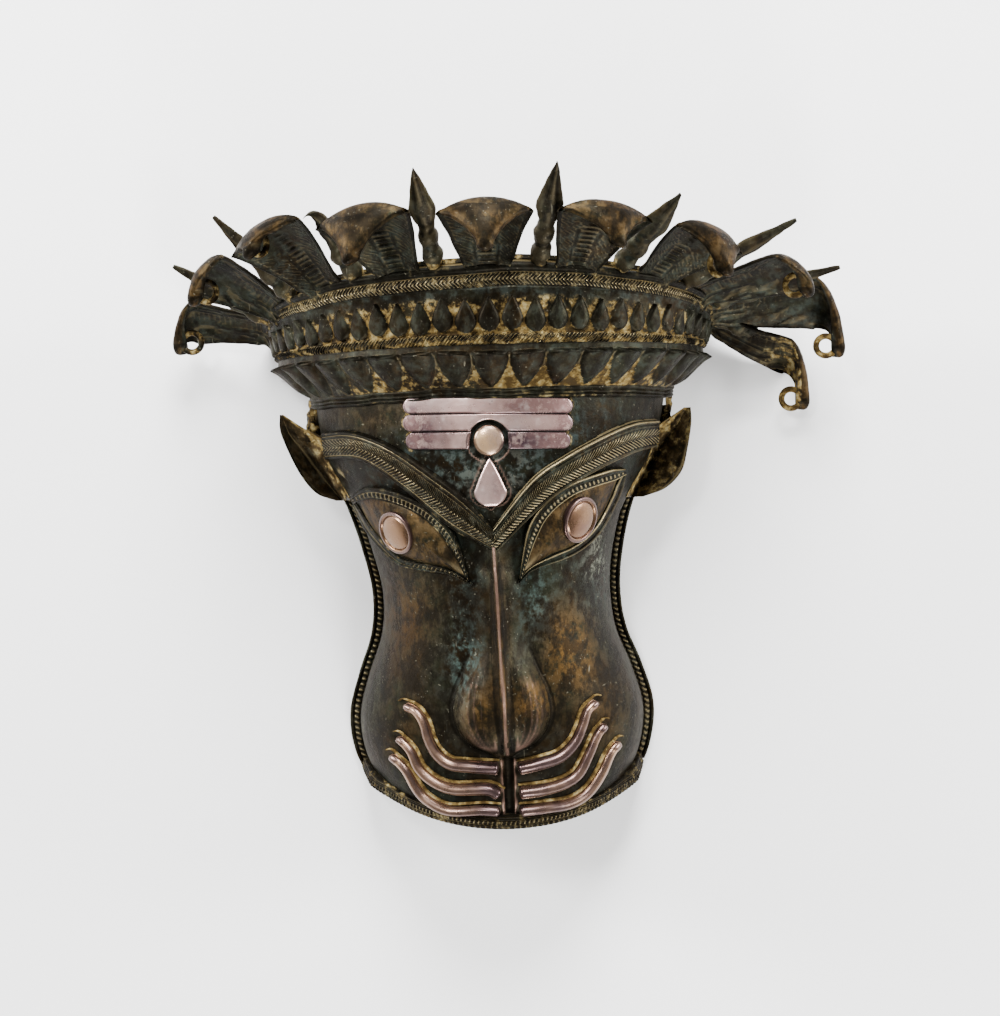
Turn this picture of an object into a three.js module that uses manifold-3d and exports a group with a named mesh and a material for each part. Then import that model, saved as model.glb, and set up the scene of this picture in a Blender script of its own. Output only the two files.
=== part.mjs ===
// Bronze ritual mask with copper inlays, in millimetres.
// It lies on its back, so +Z comes out of the face, +Y runs up to the crown and +X is the viewer's right.
// All shapes are set out from the middle of the face, with the rear rim in the plane Z = 0.
import * as THREE from 'three';
import { mergeVertices } from 'three/addons/utils/BufferGeometryUtils.js';
import Module from 'manifold-3d';

const wasm = await Module();
wasm.setup();

// Casting
const wall = 3;
const inlayGap = 0.3;

// Face, a tube cut in half lengthwise: half width and depth at even steps of height
const stepStart = -200;
const step = 25;
const halfWidths = [69.5, 78.5, 90, 93, 86.5, 77.5, 75.5, 79.5, 86.5, 97, 105, 108, 108];
const centres = [0, 0, -0.8, -0.6, -0.6, -1, -1.5, -2.6, -3.2, -3, -2, -1, 0];
const depths = [84, 91, 98, 104, 109, 114, 119, 125, 131, 137, 139.5, 140, 140];
const faceTop = 84;
const faceBottom = -200;
const columnsAcross = [0, 0.16, 0.32, 0.49, 0.66, 0.81, 0.92, 0.98, 1];
const rowsUp = 15;
const rearRope = { width: 2.5, depth: 6 };

// Lower edge, a slanting cut that drops towards the front
const lowerEdgeAtRear = -162;
const lowerEdgeSlope = 0.35;
const lowerEdgeLean = 0.018;

// Nose, down its length: height on the face, half width, height of the ridge and of the flanks
const noseMiddle = -0.5;
const noseRidge = 1.2;
const noseSections = [
  [-20, 11, 5, 2.5],
  [-42, 15, 12, 6.5],
  [-64, 15.5, 15, 8],
  [-82, 17, 17, 9.5],
  [-95, 22, 19, 12.5],
  [-108, 27.5, 21, 16],
  [-121, 29, 23, 18],
  [-133, 25.5, 23, 17],
  [-142, 17, 20, 13],
  [-147, 6, 9, 6],
];
const groove = { x: 2, top: -144, bottom: -186, radius: 3.2 };

// Eyeballs, as almond outlines on the face
const eyeHeight = 6.5;
const leftEyeball = [
  [-82, 8], [-70, 9], [-58, 5], [-46, 0], [-35, -9], [-26, -22], [-18, -39],
  [-30, -34], [-46, -30.5], [-59, -26], [-69, -18], [-78, -5],
];
const rightEyeball = [
  [73, 17], [70, 5], [64, -6], [56, -16], [45, -24], [30, -29], [13, -39],
  [18, -22], [26, -7], [35, 1], [46, 7], [59, 13],
];
const leftPupil = { x: -59.5, y: -12.5, across: 15, up: 13.2 };
const rightPupil = { x: 49.5, y: -8.5, across: 14.2, up: 14 };
const pupilHeight = 1.6;
const pupilSetIn = 1.2;

// Forehead marks as [x, low y, high y] along each, from the viewer's left
const markHeight = 1.6;
const foreheadBars = {
  forehead_bar_top: { from: [-51.6, 61.4], to: [46.5, 58.4], half: 4.2 },
  forehead_bar_middle: { from: [-52, 51.5], to: [46.3, 48.6], half: 4.8 },
  forehead_bar_lower_left: { from: [-50.7, 41], to: [-8, 39.6], half: 5 },
  forehead_bar_lower_right: { from: [3, 39.2], to: [44.6, 38.3], half: 4.8 },
};
const foreheadDisc = { x: -2.6, y: 39.5, radius: 9.2, recess: 12 };
const foreheadDrop = { x: -2.7, top: 29.3, bottom: 1, half: 9.8, widestAt: 9.5 };

// Copper whisker strands, from the groove outwards
const strandHeight = 3.4;
const strandHalf = 2.9;
const whiskers = {
  whisker_left_upper: [
    [-3.5, -155], [-21, -153.5], [-32, -152], [-40, -146],
    [-45, -136.5], [-47.5, -127], [-52, -120], [-59, -116.5],
  ],
  whisker_left_middle: [
    [-3.5, -171.5], [-11, -167.5], [-30, -167.5], [-42, -163.5],
    [-51.5, -155], [-56.5, -144], [-64, -136],
  ],
  whisker_left_lower: [
    [-3.5, -181.5], [-15, -180.5], [-34, -181], [-47, -175],
    [-54, -167], [-60, -156], [-69, -147.5],
  ],
  whisker_right_upper: [
    [7.8, -155.7], [20, -153.5], [33, -149.8], [42, -142],
    [47, -132.5], [50.5, -123.5], [56.5, -118],
  ],
  whisker_right_middle: [
    [8, -170.5], [21.5, -169.5], [35, -166.5], [44, -161],
    [50.5, -150], [56, -139], [61.5, -132.5],
  ],
  whisker_right_lower: [
    [7.8, -182], [23, -181], [38, -179.5], [49, -174],
    [58, -163], [64, -151.5], [70, -144.5],
  ],
};

// Crown, an arc about an upright axis behind the face
const crownAxisZ = 30;
const crownEnd = 106.4;
const rimRadius = 137;
const rimAtSides = 117;
const rimRise = 23;
const bandBottom = 94.5;
const dropPitch = 5.75;
const dropCount = 29;
const petalPitch = 9.6;
const petalCount = 19;

// Cobra hoods round the rim: azimuth and sideways roll in degrees, then in millimetres the reach out from
// the rim, the sideways lean of the snout, heights over the rim and the half width where the hood folds
const hoods = [
  { azimuth: -90, roll: -2, reach: 57, lean: 0, foldUp: 10, snoutUp: -14, flare: 22 },
  { azimuth: -66, roll: -22, reach: 54, lean: -4, foldUp: 24, snoutUp: 2, flare: 28 },
  { azimuth: -43, roll: -16, reach: 56, lean: -8, foldUp: 34, snoutUp: 16, flare: 30 },
  { azimuth: -21.5, roll: -6, reach: 56, lean: -8, foldUp: 33, snoutUp: 1, flare: 29 },
  { azimuth: 0, roll: 0, reach: 60, lean: -1, foldUp: 31, snoutUp: 2, flare: 27 },
  { azimuth: 21.5, roll: 6, reach: 50, lean: 8, foldUp: 31, snoutUp: 6, flare: 29 },
  { azimuth: 44, roll: 14, reach: 57, lean: 5, foldUp: 24, snoutUp: -4, flare: 29 },
  { azimuth: 67, roll: 20, reach: 69, lean: 2, foldUp: 14, snoutUp: -6, flare: 27 },
  { azimuth: 86, roll: 36, reach: 79, lean: 0, foldUp: 8, snoutUp: -32, flare: 25 },
  { azimuth: 95, roll: 30, reach: 60, lean: 0, foldUp: -20, snoutUp: -59, flare: 15 },
];
const hoodDroop = 0.28;
const tongueRing = { radius: 5, wire: 1.5 };

// Spearheads between the hoods
const spikes = [
  { azimuth: -79, reach: 57, up: 32 },
  { azimuth: -57, reach: 52, up: 46 },
  { azimuth: -33.5, reach: 45, up: 42 },
  { azimuth: -12.5, reach: 45, up: 51 },
  { azimuth: 12.5, reach: 52, up: 51 },
  { azimuth: 33.5, reach: 62, up: 36 },
  { azimuth: 57, reach: 77, up: 31 },
  { azimuth: 79, reach: 80, up: 17 },
  { azimuth: 92, reach: 62, up: -26, broken: true },
];

const bronze = new THREE.MeshStandardMaterial({ color: 0x2e2b25, roughness: 0.5, metalness: 0.85 });
const copper = new THREE.MeshStandardMaterial({ color: 0x9a7d80, roughness: 0.35, metalness: 0.95 });

const radians = THREE.MathUtils.degToRad;
const clamp = THREE.MathUtils.clamp;

// Smooth value between the even steps of a list
function between(values, y) {
  const t = clamp((y - stepStart) / step, 0, values.length - 1.001);
  const i = Math.floor(t);
  const f = t - i;
  const before = values[Math.max(i - 1, 0)];
  const a = values[i];
  const b = values[i + 1];
  const after = values[Math.min(i + 2, values.length - 1)];
  const cubic = 3 * (a - b) + after - before;
  return a + 0.5 * f * (b - before + f * (2 * before - 5 * a + 4 * b - after + f * cubic));
}

// Depth of the straight part of each side wall
function sideDepth(y) {
  return clamp(26 + 0.08 * y, 10, 30);
}

// Point of the face surface: across runs from -1 to 1 over the front
function facePoint(across, y, inset) {
  const x = between(centres, y) + (between(halfWidths, y) - inset) * across;
  const side = sideDepth(y);
  const z = side + (between(depths, y) - inset - side) * Math.sqrt(1 - across * across);
  return new THREE.Vector3(x, y, z);
}

// Height of the plain face surface over a point
function faceZ(x, y) {
  const across = (x - between(centres, y)) / between(halfWidths, y);
  return facePoint(clamp(across, -0.995, 0.995), y, 0).z;
}

function onFace(x, y, lift) {
  return new THREE.Vector3(x, y, faceZ(x, y) + lift);
}

// Closed body through rings with the same number of points; flat ends take the cap triangles
function loft(rings, cap) {
  const n = rings[0].length;
  const faces = cap ?? Array.from({ length: n - 2 }, (_, i) => [0, i + 1, i + 2]);
  const last = (rings.length - 1) * n;
  const index = [];
  for (let i = 0; i < rings.length - 1; i += 1) {
    for (let j = 0; j < n; j += 1) {
      const a = i * n + j;
      const b = i * n + (j + 1) % n;
      index.push(a, b, a + n, b, b + n, a + n);
    }
  }
  for (const [a, b, c] of faces) {
    index.push(a, c, b, last + a, last + b, last + c);
  }
  const position = rings.flat().flatMap((p) => p.toArray());
  const geometry = new THREE.BufferGeometry();
  geometry.setAttribute('position', new THREE.Float32BufferAttribute(position, 3));
  geometry.setIndex(index);
  return geometry;
}

// Triangles of a flat end, wound the way the section runs
function capOf(section) {
  const faces = THREE.ShapeUtils.triangulateShape(section, []);
  const first = faces[0].map((i) => section[i]);
  const same = THREE.ShapeUtils.area(section) * THREE.ShapeUtils.area(first) > 0;
  return same ? faces : faces.map(([a, b, c]) => [a, c, b]);
}

// Signed volume, negative where the faces point in
function volume(position, index) {
  const [a, b, c] = [new THREE.Vector3(), new THREE.Vector3(), new THREE.Vector3()];
  let sum = 0;
  for (let i = 0; i < index.length; i += 3) {
    a.fromArray(position, 3 * index[i]);
    b.fromArray(position, 3 * index[i + 1]);
    c.fromArray(position, 3 * index[i + 2]);
    sum += a.dot(b.cross(c)) / 6;
  }
  return sum;
}

// Solid of a closed geometry, with its faces turned outwards
function solid(geometry) {
  geometry.deleteAttribute('normal');
  geometry.deleteAttribute('uv');
  const merged = mergeVertices(geometry, 1e-5);
  const vertProperties = new Float32Array(merged.attributes.position.array);
  const triVerts = new Uint32Array(merged.index.array);
  if (volume(vertProperties, triVerts) < 0) triVerts.reverse();
  return new wasm.Manifold(new wasm.Mesh({ numProp: 3, vertProperties, triVerts }));
}

function geometryOf(body) {
  const mesh = body.getMesh();
  const geometry = new THREE.BufferGeometry();
  geometry.setAttribute('position', new THREE.Float32BufferAttribute(mesh.vertProperties, 3));
  geometry.setIndex(Array.from(mesh.triVerts));
  return geometry;
}

// Half-tube of the face as a full block, closed along the rear plane
function faceBlock(inset, columns, rows, bottom, top, rear) {
  const across = [...columns.slice(1).map((c) => -c).reverse(), ...columns];
  const rings = [];
  for (let i = 0; i <= rows; i += 1) {
    const y = bottom + (top - bottom) * i / rows;
    const [left, right] = [facePoint(-1, y, inset).x, facePoint(1, y, inset).x];
    const rope = inset > 0 ? 0 : rearRope.width;
    const ring = across.map((a) => facePoint(a, y, inset));
    ring.unshift(new THREE.Vector3(left - rope, y, rear));
    ring.push(new THREE.Vector3(right + rope, y, rear));
    if (rope > 0) {
      ring.splice(1, 0, ...ropeSide(left, y, -rope));
      ring.splice(-1, 0, ...ropeSide(right, y, rope).reverse());
    }
    rings.push(ring);
  }
  return solid(loft(rings, capOf(rings[0].map((p) => new THREE.Vector2(p.x, p.z)))));
}

// Step from the rear rope to the side wall
function ropeSide(x, y, out) {
  return [new THREE.Vector3(x + out, y, rearRope.depth), new THREE.Vector3(x, y, rearRope.depth + 2)];
}

function faceShell() {
  const outer = faceBlock(0, columnsAcross, rowsUp, faceBottom, faceTop, 0);
  const columnsInside = [0, 0.24, 0.5, 0.76, 0.93, 1];
  const inner = faceBlock(wall, columnsInside, 8, faceBottom - 5, faceTop + 5, -5);
  const below = new THREE.BoxGeometry(400, 200, 400);
  below.translate(0, -100, 0);
  below.rotateZ(-Math.atan(lowerEdgeLean));
  below.rotateX(Math.atan(lowerEdgeSlope));
  below.translate(0, lowerEdgeAtRear, 0);
  return outer.subtract(inner).subtract(solid(below));
}

// Nose as a block on the face; the inset one hollows it from behind
function noseBlock(inset, back) {
  const sections = inset > 0 ? noseSections.slice(2, -2) : noseSections;
  const rings = sections.map(([y, half, ridgeHeight, flank]) => {
    const w = half - inset;
    const [top, side] = [ridgeHeight - 1.3 * inset, flank - 1.2 * inset];
    const section = [
      [-w, 0], [-0.86 * w, 0.72 * side], [-0.5 * w, side], [-0.14 * w, 0.25 * top + 0.75 * side], [0, top],
      [0.14 * w, 0.25 * top + 0.75 * side], [0.5 * w, side], [0.86 * w, 0.72 * side], [w, 0],
    ];
    const towards = (x) => noseMiddle + x + (noseRidge - noseMiddle) * (1 - Math.abs(x) / w);
    const front = section.map(([x, lift]) => onFace(towards(x), y, lift));
    const [first, last] = [front[0], front[front.length - 1]];
    return [first.clone().setZ(first.z - back), ...front, last.clone().setZ(last.z - back)];
  });
  return solid(loft(rings, capOf(rings[0].map((p) => new THREE.Vector2(p.x, p.z)))));
}

// Dome over an outline of [x, y] pairs on the face
function dome(outline, height) {
  const count = outline.length;
  const middle = outline.reduce(([a, b], [x, y]) => [a + x / count, b + y / count], [0, 0]);
  const level = (size, lift) => outline.map(([x, y]) => {
    return onFace(middle[0] + size * (x - middle[0]), middle[1] + size * (y - middle[1]), lift);
  });
  return loft([level(1, -2.4), level(0.98, 0.6), level(0.78, 0.7 * height), level(0.45, height)]);
}

// Ridge half sunk in the face, through points given as [x, y] pairs
function ridge(points, radius, sides, count) {
  const flat = new THREE.SplineCurve(points.map(([x, y]) => new THREE.Vector2(x, y)));
  return tube(flat.getSpacedPoints(count).map((p) => onFace(p.x, p.y, 0)), radius, sides);
}

function tube(path, radius, sides) {
  const curve = new THREE.CatmullRomCurve3(path);
  const section = new THREE.Shape();
  for (let i = 0; i < sides; i += 1) {
    const angle = 2 * Math.PI * i / sides;
    const [x, y] = [radius * Math.cos(angle), radius * Math.sin(angle)];
    if (i === 0) section.moveTo(x, y);
    else section.lineTo(x, y);
  }
  return new THREE.ExtrudeGeometry(section, { steps: path.length - 1, extrudePath: curve });
}

// Brow, a raised band between a lower and an upper line of [x, y] pairs
function browBand(lower, upper) {
  const spline = (points) => new THREE.SplineCurve(points.map(([x, y]) => new THREE.Vector2(x, y)));
  const [from, to] = [spline(lower).getSpacedPoints(6), spline(upper).getSpacedPoints(6)];
  const rings = from.map((a, i) => {
    return [[0, -1.2], [0.12, 2.6], [0.88, 3.2], [1, -1.2]].map(([part, lift]) => {
      const p = a.clone().lerp(to[i], part);
      return onFace(p.x, p.y, lift);
    });
  });
  return loft(rings);
}

function brows() {
  return [
    browBand(
      [[-100, 33], [-76, 30], [-52, 12.5], [-28, -10], [-12, -20], [-1, -26]],
      [[-101, 50], [-82, 49], [-60, 40], [-36, 23], [-19, 9], [-2, -11]],
    ),
    browBand(
      [[97, 34], [82, 30], [61, 21], [37, 8], [20, -6], [-1, -26.5]],
      [[98, 51], [82, 49], [64, 42], [39, 29], [20, 16], [-2.4, -11.5]],
    ),
  ];
}

// Upper eyelids
function eyelids() {
  return [
    ridge([[-84, 10], [-71, 12], [-48, 4], [-31, -10], [-22, -27], [-17, -42]], 3, 4, 6),
    ridge([[75, 20], [57, 14.5], [42.5, 9], [29, -1.5], [20.5, -15], [12, -42]], 3, 4, 6),
  ];
}

// Rope along the lower edge
function lowerBorder() {
  const path = [];
  for (let a = -90; a <= 90; a += 22.5) {
    path.push(pointOnLowerEdge(radians(a)));
  }
  return tube(path, 4.6, 4);
}

// Middle of the lower border at an angle round from the front
function pointOnLowerEdge(angle) {
  let y = lowerEdgeAtRear;
  let p = new THREE.Vector3();
  for (let i = 0; i < 8; i += 1) {
    p = facePoint(Math.sin(angle), y, 1.5);
    if (Math.abs(angle) > 1.5) p.z = 3.5;
    y = lowerEdgeAtRear - lowerEdgeSlope * p.z - lowerEdgeLean * p.x + 3;
  }
  return p.setY(y);
}

// Point at an azimuth round the crown
function round(azimuth, radius, y) {
  const a = radians(azimuth);
  return new THREE.Vector3(radius * Math.sin(a), y, crownAxisZ + radius * Math.cos(a));
}

function rimTop(azimuth) {
  return rimAtSides + rimRise * Math.cos(radians(azimuth));
}

// Height in the upper band: 0 at its bottom and 1 at its top
function inBand(azimuth, part) {
  return bandBottom + part * (rimTop(azimuth) - bandBottom);
}

// Two tiers of the crown in one wall, as a section swept round the axis, with two teardrops to each flat
function crownWall() {
  const fixed = [[105.5, 67], [111.5, 67], [113, 71], [132.5, 90]];
  const scaled = [
    [130, 0.02], [132, 0.22], [136, 0.82], [141, 0.9], [140, 1],
    [135.5, 1.04], [135, 1.12], [133, 1.12], [125, 0.1],
  ];
  const inner = [[105.5, 86]];
  const flats = Array.from({ length: 19 }, (_, i) => 2 * dropPitch * i - crownEnd);
  const rings = [...flats, crownEnd].map((azimuth) => [
    ...fixed.map(([r, y]) => round(azimuth, r, y)),
    ...scaled.map(([r, part]) => round(azimuth, r, inBand(azimuth, part))),
    ...inner.map(([r, y]) => round(azimuth, r, y)),
  ]);
  const section = rings[0].map((p) => new THREE.Vector2(Math.hypot(p.x, p.z - crownAxisZ), p.y));
  return loft(rings, capOf(section));
}

// Pointed teardrop or blunt petal raised on the crown, from its outline as [across, up] pairs
function boss(azimuth, outline, onWall, depth, height) {
  const base = outline.map(([across, up]) => onWall(azimuth + across, up, -depth));
  const crest = outline.map(([across, up]) => {
    const [a, u] = [across * 0.45, up + (0.5 - up) * 0.45];
    return onWall(azimuth + a, u, height);
  });
  return loft([base, crest]);
}

function teardrops() {
  const outline = [[0, 1], [2.4, 0.4], [1.4, 0], [-1.4, 0], [-2.4, 0.4]];
  const onWall = (azimuth, up, out) => {
    const part = 0.14 + 0.44 * up;
    return round(azimuth, 131.9 + 6.4 * (part - 0.22) + out, inBand(azimuth, part));
  };
  return Array.from({ length: dropCount }, (_, i) => {
    return boss((i - (dropCount - 1) / 2) * dropPitch, outline, onWall, 2.2, 2.8);
  });
}

function petals() {
  const outline = [[4.1, 1], [1.2, 0], [-1.2, 0], [-4.1, 1]];
  const onWall = (azimuth, up, out) => {
    const y = 72.5 + 17.5 * up;
    return round(azimuth, 113.5 + 18 * up + out, y);
  };
  return Array.from({ length: petalCount }, (_, i) => {
    return boss((i - (petalCount - 1) / 2) * petalPitch, outline, onWall, 1.2, 4);
  });
}

// Middle line of a hood in its own upright plane: out from the rim, up from the rim, half width, thickness
function hoodLine(hood) {
  const { reach, foldUp, snoutUp, flare } = hood;
  const drop = foldUp - snoutUp;
  return [
    [-3.4, -7.3, 13, 3],
    [4, 1 + 0.05 * foldUp, 14.5, 3],
    [0.45 * reach, 0.65 * foldUp, flare * 0.8, 2.8],
    [0.77 * reach, foldUp, flare, 2.8],
    [0.9 * reach, foldUp - 0.12 * drop, flare * 0.88, 3],
    [0.97 * reach, foldUp - 0.45 * drop, flare * 0.5, 4],
    [reach - 2.5, snoutUp + 5, 5, 8],
    [reach - 2.5, snoutUp, 2.6, 5],
  ];
}

// Directions at a point of the rim; a roll turns the sideways direction down at the far side
function rimFrame(azimuth, roll = 0) {
  const a = radians(azimuth);
  const level = new THREE.Vector3(Math.cos(a), 0, -Math.sin(a));
  const up = new THREE.Vector3(0, 1, 0);
  return {
    foot: round(azimuth, rimRadius, rimTop(azimuth)),
    out: new THREE.Vector3(Math.sin(a), 0, Math.cos(a)),
    up,
    along: level.multiplyScalar(Math.cos(radians(roll))).addScaledVector(up, -Math.sin(radians(roll))),
  };
}

function placed(frame, out, up, along) {
  return frame.foot.clone().addScaledVector(frame.out, out).addScaledVector(frame.up, up)
    .addScaledVector(frame.along, along);
}

// One hood: a bent sheet that rises from the rim, flares and folds over to a rounded snout
function hoodSheet(hood) {
  const frame = rimFrame(hood.azimuth, hood.roll);
  const line = hoodLine(hood);
  const rings = line.map(([out, up, half, thickness], i) => {
    const before = line[Math.max(i - 1, 0)];
    const after = line[Math.min(i + 1, line.length - 1)];
    const slope = new THREE.Vector2(after[0] - before[0], after[1] - before[1]).normalize();
    const normal = new THREE.Vector2(-slope.y, slope.x);
    const at = (v, side) => {
      const offset = side * thickness / 2 - (i > 0 ? hoodDroop * half * v * v : 0);
      const sideways = v * half + hood.lean * (i / (line.length - 1)) ** 2;
      return placed(frame, out + normal.x * offset, up + normal.y * offset, sideways);
    };
    return [...[-1, -0.4, 0.4, 1].map((v) => at(v, 1)), ...[1, 0, -1].map((v) => at(v, -1))];
  });
  return loft(rings);
}

// Curled tongue under the snout
function hoodRing(hood) {
  const frame = rimFrame(hood.azimuth);
  const ring = new THREE.TorusGeometry(tongueRing.radius, tongueRing.wire, 3, 6);
  ring.rotateY(radians(hood.azimuth - 90));
  const middle = placed(frame, hood.reach - 9.5, hood.snoutUp + 6, hood.lean + 0.8);
  return ring.translate(middle.x, middle.y, middle.z);
}

// Spearhead on a knobbed stem
function spike(one) {
  const frame = rimFrame(one.azimuth);
  const length = Math.hypot(one.reach, one.up);
  const lean = new THREE.Vector2(one.reach / length, one.up / length);
  const stem = [[-0.06, 3, 3], [0.12, 4.6, 4.6], [0.24, 3, 3], [0.36, 4.4, 4.4]];
  const stations = one.broken ? stem : [...stem, [0.6, 7.4, 3.2], [1, 0.5, 0.5]];
  const rings = stations.map(([part, half, thick]) => {
    const corners = [[half, 0], [0, thick], [-half, 0], [0, -thick]];
    return corners.map(([along, over]) => {
      const out = part * one.reach - lean.y * over;
      const up = part * one.up + lean.x * over;
      return placed(frame, out, up, along);
    });
  });
  return loft(rings);
}

// Leaf-shaped ear, a folded sheet from its outer edge over the fold to its inner edge
function ear(outerEdge, fold, innerEdge) {
  const rings = outerEdge.map((_, i) => {
    const row = [outerEdge[i], fold[i], innerEdge[i]].map((p) => new THREE.Vector3(...p));
    const behind = row.map((p) => p.clone().setZ(p.z - wall)).reverse();
    return [...row, ...behind];
  });
  return loft(rings);
}

function ears() {
  const left = ear(
    [[-131, 62, 40], [-131, 52, 40], [-126, 38, 40], [-119, 24, 41], [-110, 13, 42], [-98, 8, 43]],
    [[-130, 62, 38], [-126, 50, 31], [-118, 39, 28], [-111, 29, 27], [-103, 18, 28], [-95, 8, 30]],
    [[-129, 62, 40], [-116, 53, 44], [-104, 46, 46], [-99, 34, 46], [-94, 20, 46], [-89, 8, 46]],
  );
  const right = ear(
    [[122, 58, 40], [122, 48, 40], [119, 32, 40], [115, 19, 41], [105, 9, 42], [91, 4, 43]],
    [[120, 58, 38], [113, 47, 31], [104, 36, 28], [97, 25, 27], [91, 14, 28], [84, 4, 30]],
    [[118, 58, 40], [104, 49, 44], [96, 42, 46], [91, 30, 46], [86, 16, 46], [80, 4, 46]],
  );
  return [left, right];
}

// Groove below the nose
function grooveCut() {
  const path = [0, 0.33, 0.67, 1].map((part) => {
    const y = groove.top + part * (groove.bottom - groove.top);
    return onFace(groove.x, y, 1.2);
  });
  return tube(path, groove.radius, 4);
}

// Disc of an eye, square to the eyeball; grown on all sides it is its seat
function pupilDisc(eye, grow) {
  const slope = (onFace(eye.x + 4, eye.y, 0).z - onFace(eye.x - 4, eye.y, 0).z) / 8;
  const disc = new THREE.CylinderGeometry(1, 1, 1, 12);
  const height = pupilHeight + pupilSetIn + (grow > 0 ? 8 : 0);
  disc.scale(eye.across + grow, height, eye.up + grow);
  disc.translate(0, height / 2 - grow, 0);
  disc.rotateX(Math.PI / 2);
  disc.rotateY(-Math.atan(slope));
  const seat = onFace(eye.x, eye.y, eyeHeight - pupilSetIn);
  return disc.translate(seat.x, seat.y, seat.z);
}

function casting() {
  const additions = [
    crownWall(),
    ...teardrops(),
    ...petals(),
    ...hoods.map(hoodSheet),
    ...hoods.filter(({ azimuth }) => Math.abs(azimuth) > 30).map(hoodRing),
    ...spikes.map(spike),
    ...ears(),
    ...brows(),
    dome(leftEyeball, eyeHeight),
    dome(rightEyeball, eyeHeight),
    ...eyelids(),
    lowerBorder(),
  ];
  let body = faceShell().add(noseBlock(0, 2)).subtract(noseBlock(wall, 6));
  for (const geometry of additions) {
    body = body.add(solid(geometry));
  }
  body = body.subtract(solid(grooveCut()));
  for (const eye of [leftPupil, rightPupil]) {
    body = body.subtract(solid(pupilDisc(eye, inlayGap)));
  }
  const behind = new THREE.BoxGeometry(600, 600, 60);
  behind.translate(0, 0, -30);
  return largest(body.subtract(solid(behind)));
}

// Main piece of a body, with the pinhead pockets filled that overlapping shapes leave in the metal
function largest(body) {
  return body.decompose().reduce((a, b) => (b.volume() > a.volume() ? b : a));
}

const castBody = casting();
const castMesh = new THREE.Mesh(geometryOf(castBody), bronze);
castMesh.name = 'mask_casting';
const castRaised = castBody.translate([0, 0, inlayGap]);

const ray = new THREE.Raycaster();
const down = new THREE.Vector3(0, 0, -1);

// Height of the finished casting over a point
function castZ(x, y) {
  ray.set(new THREE.Vector3(x, y, 400), down);
  return ray.intersectObject(castMesh)[0].point.z;
}

// Copper laid on the casting, as a pillow between pairs of [x, y] points on its two sides
function inlay(pairs, height) {
  const section = [[0, 0], [0.2, 0.9], [0.8, 0.9], [1, 0]];
  const rings = pairs.map(([a, b]) => section.map(([part, lift]) => {
    const x = a[0] + part * (b[0] - a[0]);
    const y = a[1] + part * (b[1] - a[1]);
    return new THREE.Vector3(x, y, castZ(x, y) + inlayGap + 0.1 + lift * height);
  }));
  return largest(solid(loft(rings)).subtract(castRaised));
}

// Round recess of the forehead disc, which cuts into the bars beside it
function discRecess() {
  const recess = new THREE.CylinderGeometry(foreheadDisc.recess, foreheadDisc.recess, 60, 24);
  recess.rotateX(Math.PI / 2);
  return recess.translate(foreheadDisc.x, foreheadDisc.y, faceZ(foreheadDisc.x, foreheadDisc.y));
}

// Bar with rounded ends
function barPairs({ from, to, half }) {
  const length = to[0] - from[0];
  const along = [0.12 * half, half];
  const count = Math.ceil((length - 2 * half) / 14);
  for (let i = 1; i < count; i += 1) along.push(half + (length - 2 * half) * i / count);
  along.push(length - half, length - 0.12 * half);
  return along.map((t) => {
    const end = Math.min(t, length - t, half);
    const h = Math.sqrt(half * half - (half - end) ** 2);
    const y = from[1] + (to[1] - from[1]) * t / length;
    return [[from[0] + t, y - h], [from[0] + t, y + h]];
  });
}

function discPairs({ x, y, radius }) {
  return [-0.97, -0.75, -0.4, 0, 0.4, 0.75, 0.97].map((t) => {
    const h = radius * Math.sqrt(1 - t * t);
    return [[x + t * radius, y - h], [x + t * radius, y + h]];
  });
}

// Drop, pointed at the top and round below
function dropPairs({ x, top, bottom, half, widestAt }) {
  return [-0.97, -0.75, -0.45, -0.15, 0.15, 0.45, 0.75, 0.97].map((t) => {
    const low = widestAt - (widestAt - bottom) * Math.sqrt(1 - t * t);
    const high = widestAt + (top - widestAt) * (1 - Math.abs(t)) ** 0.85;
    return [[x + t * half, low], [x + t * half, high + 0.6]];
  });
}

// Strand that thins towards its outer end
function strandPairs(points) {
  const flat = new THREE.SplineCurve(points.map(([x, y]) => new THREE.Vector2(x, y)));
  const count = 7;
  return Array.from({ length: count + 1 }, (_, i) => {
    const t = i / count;
    const p = flat.getPointAt(t);
    const side = flat.getTangentAt(t).rotateAround(new THREE.Vector2(), Math.PI / 2);
    const half = strandHalf * (i === 0 ? 0.6 : 1 - 0.5 * t * t) * (i === count ? 0.4 : 1);
    return [-half, half].map((offset) => p.clone().addScaledVector(side, offset).toArray());
  });
}

function copperPiece(name, body) {
  const mesh = new THREE.Mesh(geometryOf(body), copper);
  mesh.name = name;
  return mesh;
}

const mask = new THREE.Group();
mask.add(castMesh);
for (const [name, bar] of Object.entries(foreheadBars)) {
  mask.add(copperPiece(name, inlay(barPairs(bar), markHeight).subtract(solid(discRecess()))));
}
mask.add(copperPiece('forehead_disc', inlay(discPairs(foreheadDisc), markHeight)));
mask.add(copperPiece('forehead_drop', inlay(dropPairs(foreheadDrop), markHeight)));
mask.add(copperPiece('eye_disc_left', solid(pupilDisc(leftPupil, 0))));
mask.add(copperPiece('eye_disc_right', solid(pupilDisc(rightPupil, 0))));
for (const [name, points] of Object.entries(whiskers)) {
  mask.add(copperPiece(name, inlay(strandPairs(points), strandHeight)));
}

// The origin is under the middle of the whole mask
const box = new THREE.Box3().setFromObject(mask);
mask.position.set(-(box.min.x + box.max.x) / 2, -(box.min.y + box.max.y) / 2, -box.min.z);

export default mask;
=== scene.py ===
import math

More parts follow.
